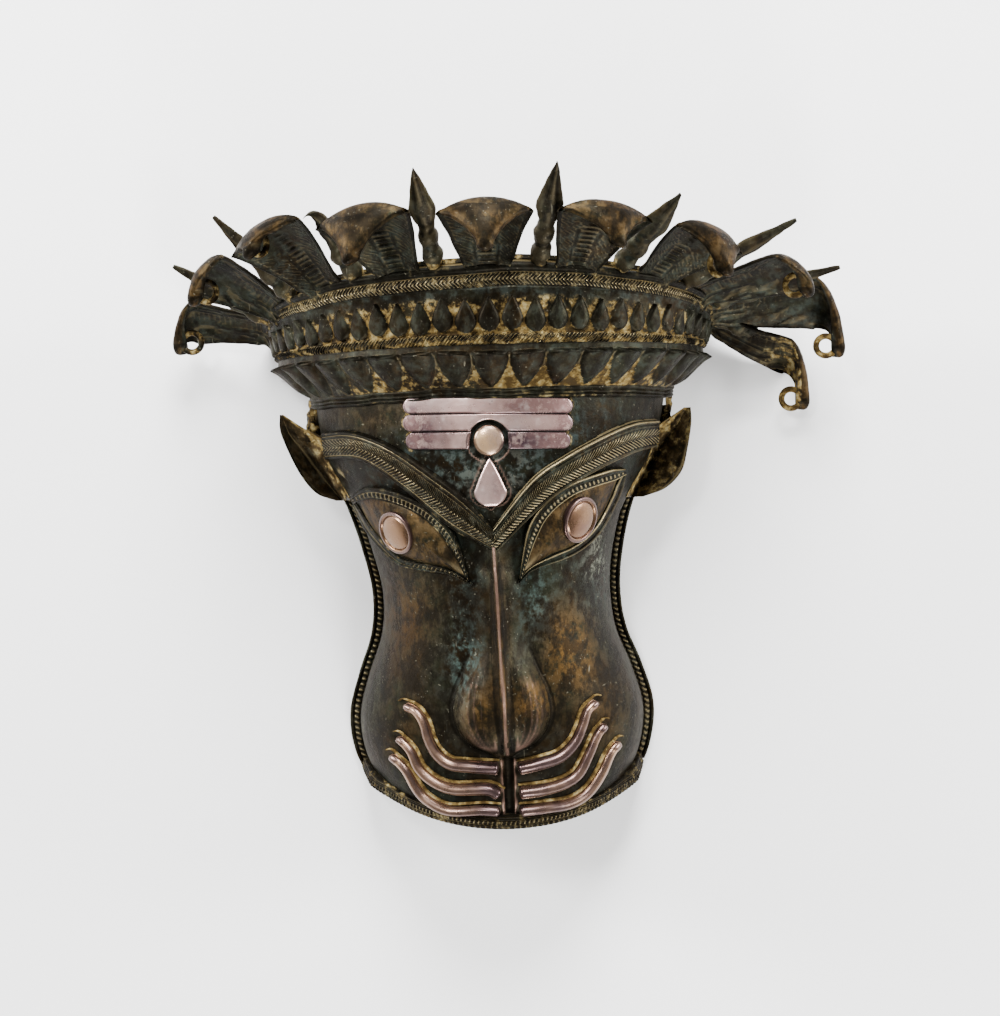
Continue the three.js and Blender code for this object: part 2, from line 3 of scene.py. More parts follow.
import bpy
import numpy as np
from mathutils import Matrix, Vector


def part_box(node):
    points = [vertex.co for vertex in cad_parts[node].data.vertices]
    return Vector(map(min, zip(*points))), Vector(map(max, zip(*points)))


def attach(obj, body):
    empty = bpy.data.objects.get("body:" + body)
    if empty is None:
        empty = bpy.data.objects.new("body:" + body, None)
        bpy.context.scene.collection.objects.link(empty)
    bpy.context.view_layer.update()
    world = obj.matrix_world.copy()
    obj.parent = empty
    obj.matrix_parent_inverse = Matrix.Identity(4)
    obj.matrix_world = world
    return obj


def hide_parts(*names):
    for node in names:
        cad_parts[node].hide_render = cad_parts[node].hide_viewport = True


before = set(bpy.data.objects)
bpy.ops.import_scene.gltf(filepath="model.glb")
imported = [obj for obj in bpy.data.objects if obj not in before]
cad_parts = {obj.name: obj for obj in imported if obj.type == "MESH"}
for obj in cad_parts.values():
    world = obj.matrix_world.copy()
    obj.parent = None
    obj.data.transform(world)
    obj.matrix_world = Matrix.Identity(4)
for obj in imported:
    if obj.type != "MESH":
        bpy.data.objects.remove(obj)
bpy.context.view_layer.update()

bl_info = {
    "name": "Bronze ritual mask",
    "version": (1, 0, 0),
    "blender": (4, 5, 0),
    "location": "View3D > Sidebar > Mask",
    "description": "Dresses the packed mask with its cast relief, copper inlays and old patina",
    "category": "Object",
}

# Lengths below are millimetres from the middle of the face: X right, Y up to the crown, Z out of the face.
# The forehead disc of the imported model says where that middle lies.
DISC_MIDDLE = (-2.6, 39.5)
MM = 0.001


def middle_of(node):
    low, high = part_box(node)
    return (np.array(low) + np.array(high)) / 2


SHIFT = np.append(middle_of("forehead_disc")[:2] - np.array(DISC_MIDDLE) * MM, 0)
SMOOTH_ANGLE = math.radians(50)

# Face, a tube cut in half lengthwise: half width, middle and depth at even steps of height
STEP_START = -200
STEP = 25
HALF_WIDTHS = [69.5, 78.5, 90, 93, 86.5, 77.5, 75.5, 79.5, 86.5, 97, 105, 108, 108]
CENTRES = [0, 0, -0.8, -0.6, -0.6, -1, -1.5, -2.6, -3.2, -3, -2, -1, 0]
DEPTHS = [84, 91, 98, 104, 109, 114, 119, 125, 131, 137, 139.5, 140, 140]
FACE_TOP = 84
WALL = 3
BORDER = 5
LOWER_EDGE = {"at_rear": -162, "slope": 0.35, "lean": 0.018}

# Nose, down its length: height on the face, half width, height of the ridge and of the flanks
NOSE_SECTIONS = [
    (-12, 8, 0, 0), (-24, 11, 5, 2), (-42, 14.5, 11, 5.5), (-64, 15.5, 15, 7.5), (-82, 17, 17, 9),
    (-95, 21, 19, 12), (-108, 26.5, 21, 15.5), (-121, 28.8, 23, 17.5), (-133, 25.5, 23, 16.5),
    (-141, 18, 19, 12), (-146, 8, 9, 5), (-149, 5, 0, 0),
]
NOSE_MIDDLE = -0.5
GROOVE = {"x": 2, "top": -146, "bottom": -186, "half": 2.9, "depth": 2.6}

# Eyes
EYE_HEIGHT = 6.5
LEFT_EYEBALL = [
    (-82, 8), (-70, 9), (-58, 5), (-46, 0), (-35, -9), (-26, -22), (-18, -39),
    (-30, -34), (-46, -30.5), (-59, -26), (-69, -18), (-78, -5),
]
RIGHT_EYEBALL = [
    (73, 17), (70, 5), (64, -6), (56, -16), (45, -24), (30, -29), (13, -39),
    (18, -22), (26, -7), (35, 1), (46, 7), (59, 13),
]
PUPILS = {
    "left": {"x": -59.5, "y": -12.5, "across": 15, "up": 13.2},
    "right": {"x": 49.5, "y": -8.5, "across": 14.2, "up": 14},
}

# Brows, each between a lower and an upper line, and the middle lines of the lids
BROWS = {
    "left": (
        [(-100, 33), (-76, 30), (-52, 12.5), (-28, -10), (-12, -20), (-1, -26)],
        [(-101, 50), (-82, 49), (-60, 40), (-36, 23), (-19, 9), (-2, -11)],
    ),
    "right": (
        [(97, 34), (82, 30), (61, 21), (37, 8), (20, -6), (-1, -26.5)],
        [(98, 51), (82, 49), (64, 42), (39, 29), (20, 16), (-2.4, -11.5)],
    ),
}
UPPER_LIDS = {
    "left": [(-86, 9), (-71, 12), (-48, 4), (-31, -10), (-22, -27), (-17, -41.5)],
    "right": [(77, 20), (57, 14.5), (42.5, 9), (29, -1.5), (20.5, -15), (12.5, -41.5)],
}
LOWER_LIDS = {
    "left": [(-86, 6), (-78, -9), (-61, -27.5), (-48, -32.5), (-30, -36), (-15, -44)],
    "right": [(77, 18), (71, 3), (60, -15), (45, -26.5), (21, -35.5), (11.5, -44)],
}

# Copper marks of the forehead and strands of the muzzle
BARS = {
    "forehead_bar_top": {"from": (-51.6, 61.4), "to": (46.5, 58.4), "half": 4.7},
    "forehead_bar_middle": {"from": (-52, 51.5), "to": (46.3, 48.6), "half": 5.05},
    "forehead_bar_lower_left": {"from": (-50.7, 41), "to": (-8, 39.6), "half": 5.1},
    "forehead_bar_lower_right": {"from": (3, 39.2), "to": (44.6, 38.3), "half": 5.0},
}
DISC = {"x": -2.6, "y": 39.5, "radius": 9, "recess": 12}
DROP = {"x": -2.7, "top": 29.3, "bottom": 1, "half": 9.6, "widest": 9.8}
WHISKERS = {
    "whisker_left_upper": [(-3.5, -155), (-21, -153.5), (-32, -152), (-40, -146), (-45, -136.5),
                           (-47.5, -127), (-52, -120), (-59, -116.5)],
    "whisker_left_middle": [(-3.5, -171.5), (-11, -167.5), (-30, -167.5), (-42, -163.5),
                            (-51.5, -155), (-56.5, -144), (-64, -136)],
    "whisker_left_lower": [(-3.5, -181.5), (-15, -180.5), (-34, -181), (-47, -175), (-54, -167),
                           (-60, -156), (-69, -147.5)],
    "whisker_right_upper": [(7.8, -155.7), (20, -153.5), (33, -149.8), (42, -142), (47, -132.5),
                            (50.5, -123.5), (56.5, -118)],
    "whisker_right_middle": [(8, -170.5), (21.5, -169.5), (35, -166.5), (44, -161), (50.5, -150),
                             (56, -139), (61.5, -132.5)],
    "whisker_right_lower": [(7.8, -182), (23, -181), (38, -179.5), (49, -174), (58, -163),
                            (64, -151.5), (70, -144.5)],
}

# Crown, an arc about an upright axis behind the face
CROWN_Z = 30
CROWN_END = 106.4
RIM_RADIUS = 137
RIM_SIDES = 117
RIM_RISE = 23
BAND_BOTTOM = 94.5
PETAL_BOTTOM = 63.5
DROP_PITCH = 5.75
PETAL_PITCH = 9.6

# Hoods and spikes: azimuth and roll in degrees, the rest in millimetres from the rim. A spike has its
# azimuth, its reach out and its rise. Hoods farther round than SIDE_HOODS show their folded bellies,
# those past RINGED_HOODS have tongue rings, the one past GOLDEN_HOODS is ochre under its head, and
# spikes past SLIM_SPIKES have slim blades.
HOOD_KEYS = ("azimuth", "roll", "reach", "lean", "fold", "snout", "flare")
HOODS = [dict(zip(HOOD_KEYS, row)) for row in (
    (-90, -32, 57, 0, 10, -14, 22),
    (-66, -22, 54, -4, 24, 2, 28),
    (-43, -16, 56, -8, 34, 16, 30),
    (-21.5, -6, 56, -8, 33, 1, 29),
    (0, 0, 60, -1, 31, 2, 27),
    (21.5, 6, 50, 8, 31, 6, 29),
    (44, 14, 57, 5, 24, -4, 29),
    (67, 20, 69, 2, 14, -6, 27),
    (86, 36, 79, 0, 8, -32, 25),
    (95, 30, 60, 0, -20, -59, 19),
)]
SIDE_HOODS = 60
RINGED_HOODS = 30
GOLDEN_HOODS = 90
HOOD_DROOP = 0.28
RING = {"radius": 6, "wire": 1.9}
SPIKES = [(-79, 57, 32), (-57, 52, 46), (-33.5, 45, 42), (-12.5, 45, 51), (12.5, 52, 51),
          (33.5, 62, 36), (57, 77, 31), (79, 80, 17), (92, 62, -26)]
SLIM_SPIKES = 40
BROKEN_SPIKE = 92
HOOKED_SPIKE = -33.5

# Ears, each from its outer edge over the fold to its inner edge
EARS = {
    "left": (
        [(-131, 62, 40), (-131, 52, 40), (-126, 38, 40), (-119, 24, 41), (-110, 13, 42), (-98, 8, 43)],
        [(-130, 62, 38), (-126, 50, 31), (-118, 39, 28), (-111, 29, 27), (-103, 18, 28), (-95, 8, 30)],
        [(-129, 62, 40), (-116, 53, 44), (-104, 46, 46), (-99, 34, 46), (-94, 20, 46), (-89, 8, 46)],
    ),
    "right": (
        [(122, 58, 40), (122, 48, 40), (119, 32, 40), (115, 19, 41), (105, 9, 42), (91, 4, 43)],
        [(120, 58, 38), (113, 47, 31), (104, 36, 28), (97, 25, 27), (91, 14, 28), (84, 4, 30)],
        [(118, 58, 40), (104, 49, 44), (96, 42, 46), (91, 30, 46), (86, 16, 46), (80, 4, 46)],
    ),
}

# Crust at the temples: side and where it starts
TEMPLES = {"left": (-1, -109.5), "right": (1, 105)}
HOLLOW_SIDE = 107.4

# Soft stains and a painted sheen, each with its strength, place and size
DIRT_SPOTS = [(0.9, (-92, 24), (7, 12)), (0.7, (92, 22), (5, 12)), (0.5, (-2, -8), (3, 5)),
              (0.4, (-14, 8), (5, 12)), (0.45, (8, 12), (5, 12)), (0.4, (30, 30), (16, 5))]
RUBBED_SPOTS = [(1.1, (40, -85), (16, 24)), (1.1, (18, -117), (11, 13)), (1.1, (-16, -119), (11, 14)),
                (0.5, (-55, -60), (22, 28)), (0.6, (0, -90), (6, 60)), (0.4, (-70, 56), (22, 9)),
                (0.35, (60, -130), (20, 24)), (0.3, (-60, -130), (20, 24))]
VERDIGRIS_SPOTS = [(1, (-22, -88), (8, 26)), (0.6, (22, -56), (9, 22)), (0.25, (-20, -44), (10, 12)),
                   (0.3, (60, -50), (16, 20)), (0.2, (-30, 20), (30, 14))]
SCUFF_SPOTS = [(1, (60, -18), (6, 16)), (1, (58, -38), (7, 6)), (0.4, (-2, 22), (34, 15))]
# Painted sheen: the blue bloom colour laid over the forehead where it catches the light
FOREHEAD_SHEEN_SPOTS = [(1.1, (0, 30), (70, 30))]
PURPLE_SPOTS = [(2.2, (28, 59), (24, 5)), (2.6, (26, 38), (24, 6)), (2, (-44, 44), (12, 13)),
                (1.6, (44, 50), (8, 14)), (0.8, (2, 12), (5, 12)), (0.7, (-48, 58), (7, 6))]
# Point attributes of the stains; blue also carries the painted sheen on the forehead
STAINS_AND_SHEEN = ("dirt", "warm", "teal", "blue", "scuff")

# Colours of thin layers over the metal, of the painted shade in its hollows and of the polish with a painted
# highlight on the face's crests
# Painted shade: near-black laid into the hollows of the bronze
PAINTED_SHADE = (0.004, 0.0035, 0.0025)
BLACK_MOTTLE = (0.006, 0.005, 0.0035)
PALE_SPECK = (0.2, 0.19, 0.14)
DARK_OCHRE = (0.045, 0.027, 0.008)
PALE_OCHRE = (0.28, 0.23, 0.11)
SCUFFED = (0.09, 0.09, 0.07)
# Polish with a painted highlight, for the face's crests and the nose ridge most of all
FACE_POLISH_AND_HIGHLIGHT = (0.25, 0.15, 0.115)
PALE_COPPER = (0.78, 0.69, 0.64)
# Painted shade laid into the hollows of the copper
COPPER_PAINTED_SHADE = (0.06, 0.04, 0.045)
COPPER_SPECK = (0.12, 0.08, 0.08)

# Stage: softboxes with their place, size in metres and power in watts, and the camera in
# millimetres, with its turn in degrees
SOFTBOXES = {
    "crown_softbox": ((0.1, 1.6, 1.2), 1.0, 125),
    "left_softbox": ((-1.7, 0.7, 0.7), 0.6, 75),
    "right_softbox": ((1.8, 0.3, 0.6), 0.6, 60),
    "chin_softbox": ((0.3, -1.8, 0.9), 0.6, 55),
    "upper_softbox": ((-0.7, 0.8, 2.1), 0.35, 22),
}
CAMERA = {"right": 2.5, "height": 1764, "turn": -2, "lens": 99.2}
FLOOR = {"size": 12, "z": -0.0002, "grey": 0.97}


class MaskSizes(bpy.types.PropertyGroup):
    brow_stroke: bpy.props.FloatProperty(
        name="Brow stroke spacing", description="Distance between the slanting strokes of a brow",
        default=0.0021, min=0.001, unit="LENGTH")
    brow_relief: bpy.props.FloatProperty(
        name="Brow relief", description="Height of the brow strokes", default=0.0009, min=0, unit="LENGTH")
    lid_bead: bpy.props.FloatProperty(
        name="Eyelid bead spacing", description="Distance between the beads of an eyelid",
        default=0.0027, min=0.001, unit="LENGTH")
    rope_pitch: bpy.props.FloatProperty(
        name="Edge rope spacing", description="Distance between the turns of the edge ropes",
        default=0.0034, min=0.001, unit="LENGTH")
    crown_stroke: bpy.props.FloatProperty(
        name="Crown stroke spacing", description="Distance between the crown's slanting strokes",
        default=0.0024, min=0.001, unit="LENGTH")
    drop_height: bpy.props.FloatProperty(
        name="Teardrop height", description="Height of the crown's teardrops",
        default=0.0028, min=0, unit="LENGTH")
    petal_height: bpy.props.FloatProperty(
        name="Petal height", description="Height of the crown's petals",
        default=0.0048, min=0, unit="LENGTH")
    mark_height: bpy.props.FloatProperty(
        name="Mark height", description="Height of the copper marks over the face",
        default=0.0016, min=0, unit="LENGTH")
    strand_half: bpy.props.FloatProperty(
        name="Whisker half width", description="Half the width of a copper whisker",
        default=0.0031, min=0.001, unit="LENGTH")


class MaskColours(bpy.types.PropertyGroup):
    dark: bpy.props.FloatVectorProperty(
        name="Dark bronze", description="Bronze under its oldest patina",
        subtype="COLOR", size=3, default=(0.012, 0.008, 0.0038))
    green: bpy.props.FloatVectorProperty(
        name="Green bronze", description="Green-black patina of the plain fields",
        subtype="COLOR", size=3, default=(0.012, 0.0135, 0.0085))
    # Blue bloom; on the forehead it is also laid as a painted sheen
    blue: bpy.props.FloatVectorProperty(
        name="Blue bloom", description="Blue-grey bloom on the forehead, crown and hoods",
        subtype="COLOR", size=3, default=(0.02, 0.028, 0.027))
    warm: bpy.props.FloatVectorProperty(
        name="Rubbed bronze", description="Bronze rubbed brown by hands",
        subtype="COLOR", size=3, default=(0.07, 0.037, 0.01))
    # Polished metal, with a painted highlight along the crests
    bright: bpy.props.FloatVectorProperty(
        name="Bright edge", description="Metal on polished edges",
        subtype="COLOR", size=3, default=(0.24, 0.19, 0.1))
    ochre: bpy.props.FloatVectorProperty(
        name="Ochre residue", description="Dry residue in the recesses",
        subtype="COLOR", size=3, default=(0.15, 0.1, 0.033))
    verdigris: bpy.props.FloatVectorProperty(
        name="Verdigris", description="Pale green crust beside the nose",
        subtype="COLOR", size=3, default=(0.045, 0.075, 0.068))
    copper: bpy.props.FloatVectorProperty(
        name="Copper", description="Mauve-pink copper of the inlays",
        subtype="COLOR", size=3, default=(0.66, 0.48, 0.44))
    copper_dark: bpy.props.FloatVectorProperty(
        name="Tarnished copper", description="Purple tarnish on the copper",
        subtype="COLOR", size=3, default=(0.075, 0.044, 0.06))


def sizes():
    return bpy.context.scene.mask_sizes


def colours():
    return bpy.context.scene.mask_colours


# Curves and surfaces

def unit(values):
    return np.clip(values, 0, 1)


def normalised(vectors):
    """The same directions, each with a length of 1."""
    return vectors / np.linalg.norm(vectors, axis=-1, keepdims=True)


def square_to(line):
    """Direction at right angles to a line of [x, y] points, at each of them."""
    d = np.gradient(line, axis=0)
    return normalised(np.stack([-d[:, 1], d[:, 0]], 1))


def run_along(points):
    """Distance along a line of points, at each of them."""
    return np.append(0, np.cumsum(np.linalg.norm(np.diff(points, axis=0), axis=1)))


def crowded(count, share=1):
    """Steps from -1 to 1 that crowd together towards both ends."""
    return np.sin(np.linspace(-1, 1, count) * math.pi / 2 * share)


def smooth_line(points, count, closed=False):
    """Evenly spaced points along a smooth curve through the given ones."""
    p = np.asarray(points, float)
    if closed:
        p = np.vstack([p[-1], p, p[0], p[1]])
    else:
        p = np.vstack([2 * p[0] - p[1], p, 2 * p[-1] - p[-2]])
    t = np.linspace(0, 1, 24, endpoint=False)[:, None]
    parts = []
    for a, b, c, d in zip(p[:-3], p[1:-2], p[2:-1], p[3:]):
        parts.append(b + 0.5 * t * (c - a + t * (2 * a - 5 * b + 4 * c - d + t * (3 * (b - c) + d - a))))
    parts.append(p[-2][None])
    fine = np.vstack(parts)
    run = run_along(fine)
    want = np.linspace(0, run[-1], count, endpoint=not closed)
    return np.stack([np.interp(want, run, fine[:, k]) for k in range(fine.shape[1])], 1)


def length_of(points):
    return np.linalg.norm(np.diff(points, axis=0), axis=1).sum()


def between(values, y):
    """Smooth value between the even height steps of a list."""
    v = np.asarray(values, float)
    t = np.clip((y - STEP_START) / STEP, 0, len(v) - 1.001)
    i = t.astype(int)
    f = t - i
    before, a, b = v[np.maximum(i - 1, 0)], v[i], v[i + 1]
    after = v[np.minimum(i + 2, len(v) - 1)]
    cubic = 3 * (a - b) + after - before
    return a + 0.5 * f * (b - before + f * (2 * before - 5 * a + 4 * b - after + f * cubic))


def side_depth(y):
    return np.clip(26 + 0.08 * y, 10, 30)


def border(y):
    """Width of the rope border that stands out beside the cheeks."""
    return BORDER * unit((30 - y) / 35)


def face_point(across, y, inset=0):
    x = between(CENTRES, y) + (between(HALF_WIDTHS, y) - border(y) - inset) * across
    side = side_depth(y)
    z = side + (between(DEPTHS, y) - inset - side) * np.sqrt(1 - across * across)
    return np.stack([x, y, z], -1)


def face_z(x, y):
    x, y = np.asarray(x, float), np.asarray(y, float)
    across = np.clip((x - between(CENTRES, y)) / (between(HALF_WIDTHS, y) - border(y)), -0.995, 0.995)
    return face_point(across, y)[..., 2]


def reach_to_side(y, z, side):
    """How far the face reaches at a height and depth, towards -X or +X (side -1 or 1)."""
    up = np.clip((z - side_depth(y)) / (between(DEPTHS, y) - side_depth(y)), 0, 0.99)
    return (between(HALF_WIDTHS, y) - border(y)) * np.sqrt(1 - up * up) + side * between(CENTRES, y)


def face_normal(x, y):
    dx = (face_z(x + 1, y) - face_z(x - 1, y)) / 2
    dy = (face_z(x, y + 1) - face_z(x, y - 1)) / 2
    return normalised(np.stack([-dx, -dy, np.ones_like(dx)], -1))


def on_face(x, y, lift=0):
    x, y = np.broadcast_arrays(np.asarray(x, float), np.asarray(y, float))
    return np.stack([x, y, face_z(x, y) + lift], -1)


def nearness(x, y, line, width):
    """1 on a line of points, falling off smoothly over a width."""
    flat = np.stack([x.ravel(), y.ravel()], 1).astype(np.float32)
    best = np.full(len(flat), 1e9, np.float32)
    for px, py in np.asarray(line, np.float32):
        best = np.minimum(best, (flat[:, 0] - px) ** 2 + (flat[:, 1] - py) ** 2)
    return np.exp(-best / width ** 2).reshape(x.shape)


def ripple(points, wave, seed):
    """Soft unevenness, mostly between -1 and 1, as hand work leaves it."""
    rng = np.random.default_rng(seed)
    total = 0
    for _ in range(14):
        direction = rng.normal(size=3)
        direction *= 2 * math.pi / (wave * rng.uniform(0.6, 2.2)) / np.linalg.norm(direction)
        total = total + np.sin(points @ direction + rng.uniform(0, 6.3))
    return total / 6


def spot(x, y, at, size):
    return np.exp(-((x - at[0]) / size[0]) ** 2 - ((y - at[1]) / size[1]) ** 2)


def spots(x, y, rows):
    return sum(strength * spot(x, y, at, size) for strength, at, size in rows)


def over_rim(rings):
    """Keeps a shape in front of the plane on which the mask lies."""
    rings[..., 2] = np.maximum(rings[..., 2], 0.02)
    return rings


# Mesh making

def grid_normals(rings):
    along_ring = np.roll(rings, -1, 1) - np.roll(rings, 1, 1)
    n = np.cross(along_ring, np.gradient(rings, axis=0))
    return n / np.maximum(np.linalg.norm(n, axis=-1, keepdims=True), 1e-9)


def hollowness(rings, rounds, size):
    """How far each point lies below (above 0) or over (under 0) its smoothed surroundings."""
    soft = rings
    for _ in range(rounds):
        ends = np.concatenate([soft[:1], soft, soft[-1:]])
        soft = (soft * 2 + ends[2:] + ends[:-2] + np.roll(soft, 1, 1) + np.roll(soft, -1, 1)) / 6
    return np.clip(((soft - rings) * grid_normals(rings)).sum(-1) / size, -1, 1)


def skin(name, rings, material, slot="bronze", nodes=("mask_casting",), shine=1, span=2.2, **stains_and_sheen):
    """Closed mesh through rings of points, with its relief, stains and painted sheen as point attributes.
    Shine scales the relief, and beside edges longer than the span there is none."""
    count, around = rings.shape[:2]
    gap = np.linalg.norm(np.roll(rings, -1, 1) - rings, axis=-1)
    detailed = (np.maximum(gap, np.roll(gap, 1, 1)) < span * 1) * shine
    relief = {"fine": hollowness(rings, 3, 0.16) * detailed, "broad": hollowness(rings, 16, 0.7) * detailed}
    a = np.arange(count * around).reshape(count, around)
    b = np.roll(a, -1, 1)
    quads = np.stack([a[:-1], b[:-1], b[1:], a[1:]], -1).reshape(-1, 4)
    faces = [tuple(q) for q in quads.tolist()]
    faces += [tuple(a[0][::-1].tolist()), tuple(a[-1].tolist())]
    mesh = bpy.data.meshes.new(name)
    mesh.from_pydata((rings.reshape(-1, 3) * MM + SHIFT).tolist(), [], faces)
    store_masks(mesh, {**relief, **stains_and_sheen}, (count, around))
    piece = bpy.data.objects.new(name, mesh)
    bpy.context.collection.objects.link(piece)
    return finish_piece(piece, material, nodes)


def store_masks(mesh, masks, shape):
    """Writes relief, stains and painted sheen, or 0 for those that aren't given, as point attributes."""
    for key in ("fine", "broad", *STAINS_AND_SHEEN):
        layer = mesh.attributes.new(key, "FLOAT", "POINT")
        values = np.broadcast_to(masks.get(key, 0), shape).astype(np.float32)
        layer.data.foreach_set("value", values.ravel())


def pick_only(piece):
    bpy.ops.object.select_all(action="DESELECT")
    piece.select_set(True)
    bpy.context.view_layer.objects.active = piece


def finish_piece(piece, material, nodes):
    pick_only(piece)
    bpy.ops.object.mode_set(mode="EDIT")
    bpy.ops.mesh.select_all(action="SELECT")
    bpy.ops.mesh.normals_make_consistent(inside=False)
    bpy.ops.object.mode_set(mode="OBJECT")
    bpy.ops.object.shade_smooth_by_angle(angle=SMOOTH_ANGLE)
    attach(piece, "root")
    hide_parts(*nodes)
    piece.data.materials.append(material)
    return piece


def steps(length, spacing):
    return max(8, int(length / (spacing * 1)))


def raised(x, y, lift, floor):
    """Rings over a grid of face points, lifted off the face, with an underside of three columns."""
    top = on_face(x, y) + face_normal(x, y) * lift[..., None]
    back = [-1, x.shape[1] // 2, 0]
    return np.concatenate([top, on_face(x[:, back], y[:, back], floor)], 1)


def band(low, high, profile, spacing, rows):
    """Rings of a raised strip on the face between two lines; profile gives its height from the distance
    along, the part across and the width."""
    n = steps(length_of(low), spacing)
    low, high = smooth_line(low, n), smooth_line(high, n)
    along = run_along((low + high) / 2)
    part = np.linspace(0, 1, rows)
    flat = low[:, None] * (1 - part[:, None]) + high[:, None] * part[:, None]
    width = np.linalg.norm(high - low, axis=1)
    lift = profile(along[:, None], part[None], width[:, None])
    return raised(flat[..., 0], flat[..., 1], lift, -2)


def offset_lines(line, half):
    """Two lines at either side of a line of [x, y] points, each half a width away."""
    p = smooth_line(line, 40)
    away = square_to(p) * np.broadcast_to(half, (40,))[:, None]
    return p - away, p + away


def bump(value, middle, half):
    """Round ridge over a value, 1 at its middle and 0 half a width away."""
    return np.sqrt(unit(1 - ((value - middle) / half) ** 2))


def strokes(phase, sharp=0.7):
    return (0.5 + 0.5 * np.cos(2 * math.pi * phase)) ** sharp


# Face

def nose_lift(x, y):
    table = smooth_line(NOSE_SECTIONS, 200)[::-1]
    half, ridge, flank = (np.interp(y, table[:, 0], table[:, k]) for k in (1, 2, 3))
    middle = np.interp(y, [-147, -20], [1.7, -2.0])
    u = np.abs(x - middle) / np.where(x < middle, half + middle - NOSE_MIDDLE, half - middle + NOSE_MIDDLE)
    distance = np.abs(x - middle)
    crest = np.interp(distance, [0, 0.5, 1.2, 2.2, 3.6, 5.5], [1, 0.92, 0.6, 0.28, 0.09, 0])
    bridge = np.interp(u, [0, 0.25, 0.45, 0.62, 0.76, 0.88, 1, 1.1],
                       [1, 0.92, 0.74, 0.5, 0.28, 0.13, 0.04, 0])
    tip = np.interp(u, [0, 0.12, 0.3, 0.45, 0.6, 0.72, 0.82, 0.9, 0.96, 1.02, 1.08],
                    [1, 0.99, 0.97, 0.93, 0.84, 0.71, 0.54, 0.36, 0.2, 0.06, 0])
    down = unit((-78 - y) / 28)
    down = down * down * (3 - 2 * down)
    body = bridge + (tip - bridge) * down
    crease = -0.8 * np.exp(-((u - 1.06) / 0.045) ** 2) * down * (y > -147)
    crease = crease - 2.4 * spot(distance, y, (3.4, -140), (1.6, 5))
    return flank * body + (ridge - flank) * crest + crease


def face_lift(x, y):
    lift = nose_lift(x, y)
    for side in ("left", "right"):
        low = smooth_line(BROWS[side][0], 60)
        lid = smooth_line(UPPER_LIDS[side], 60)
        lift -= 1.6 * nearness(x, y, (low + lid) / 2, 6)
        lift -= 0.8 * nearness(x, y, smooth_line(LOWER_LIDS[side], 60), 3.5)
    ends = unit((GROOVE["top"] - y) / 2.5) * unit((y - GROOVE["bottom"]) / 3)
    lift -= GROOVE["depth"] * bump(x, GROOVE["x"], GROOVE["half"]) * ends
    for points in WHISKERS.values():
        line = smooth_line(points, 60)
        lift += 0.9 * nearness(x, y, line, 5.5) - 1.5 * nearness(x, y, line, 3.6)
    ring = np.hypot(x - DISC["x"], y - DISC["y"])
    lift -= 0.9 * unit((DISC["recess"] + 0.6 - ring) / 1.2)
    lift += 0.5 * np.exp(-((ring - DISC["recess"] - 0.9) / 0.7) ** 2)
    lift -= 0.9 * (np.abs(drop_reach(x, y)) < 1.4)
    return lift


def drop_half(y):
    """Half the width of the forehead drop at a height."""
    up = unit((y - DROP["widest"]) / (DROP["top"] - DROP["widest"]))
    below = unit((DROP["widest"] - y) / (DROP["widest"] - DROP["bottom"]))
    return DROP["half"] * np.where(y > DROP["widest"], (1 - up) ** 0.82, np.sqrt(1 - below ** 2))


def drop_reach(x, y):
    """Signed distance, roughly, from the outline of the forehead drop."""
    inside = (y < DROP["top"] + 1) & (y > DROP["bottom"] - 1)
    return np.where(inside, np.abs(x - DROP["x"]) - drop_half(y), 9)


def face_rings():
    across = crowded(251)
    heights = np.linspace(0, 1, 321)[:, None]
    down_side = np.linspace(0, 1, 7)[:-1]

    def row(part, across_part, rear, inset):
        y = np.full(np.broadcast_shapes(part.shape, across_part.shape), -180.0)
        for _ in range(8):
            p = face_point(np.broadcast_to(across_part, y.shape), y, inset)
            z = p[..., 2] * rear
            edge = LOWER_EDGE["at_rear"] - LOWER_EDGE["slope"] * z - LOWER_EDGE["lean"] * p[..., 0]
            y = edge + part * (FACE_TOP - edge)
        p = face_point(np.broadcast_to(across_part, y.shape), y, inset)
        p[..., 2] *= rear
        return p

    one = np.ones(1)
    left = np.concatenate([row(heights, -one, r, 0) for r in down_side], 1)
    right = np.concatenate([row(heights, one, r, 0) for r in down_side[::-1]], 1)
    front = row(heights, across, 1, 0)
    x, y = front[..., 0], front[..., 1]
    front[..., 2] += face_lift(x, y)
    inner = row(heights, crowded(21)[::-1], 1, WALL)
    inner_left = row(heights, -one, 0, WALL)
    inner_right = row(heights, one, 0, WALL)
    rings = np.concatenate([left, front, right, inner_right, inner, inner_left], 1)
    outer = np.zeros(rings.shape[1])
    outer[len(down_side):len(down_side) + len(across)] = 1
    uneven = 0.22 * ripple(rings, 40, 3) + 0.03 * ripple(rings, 10, 4)
    return rings - grid_normals(rings) * (uneven * outer)[..., None]


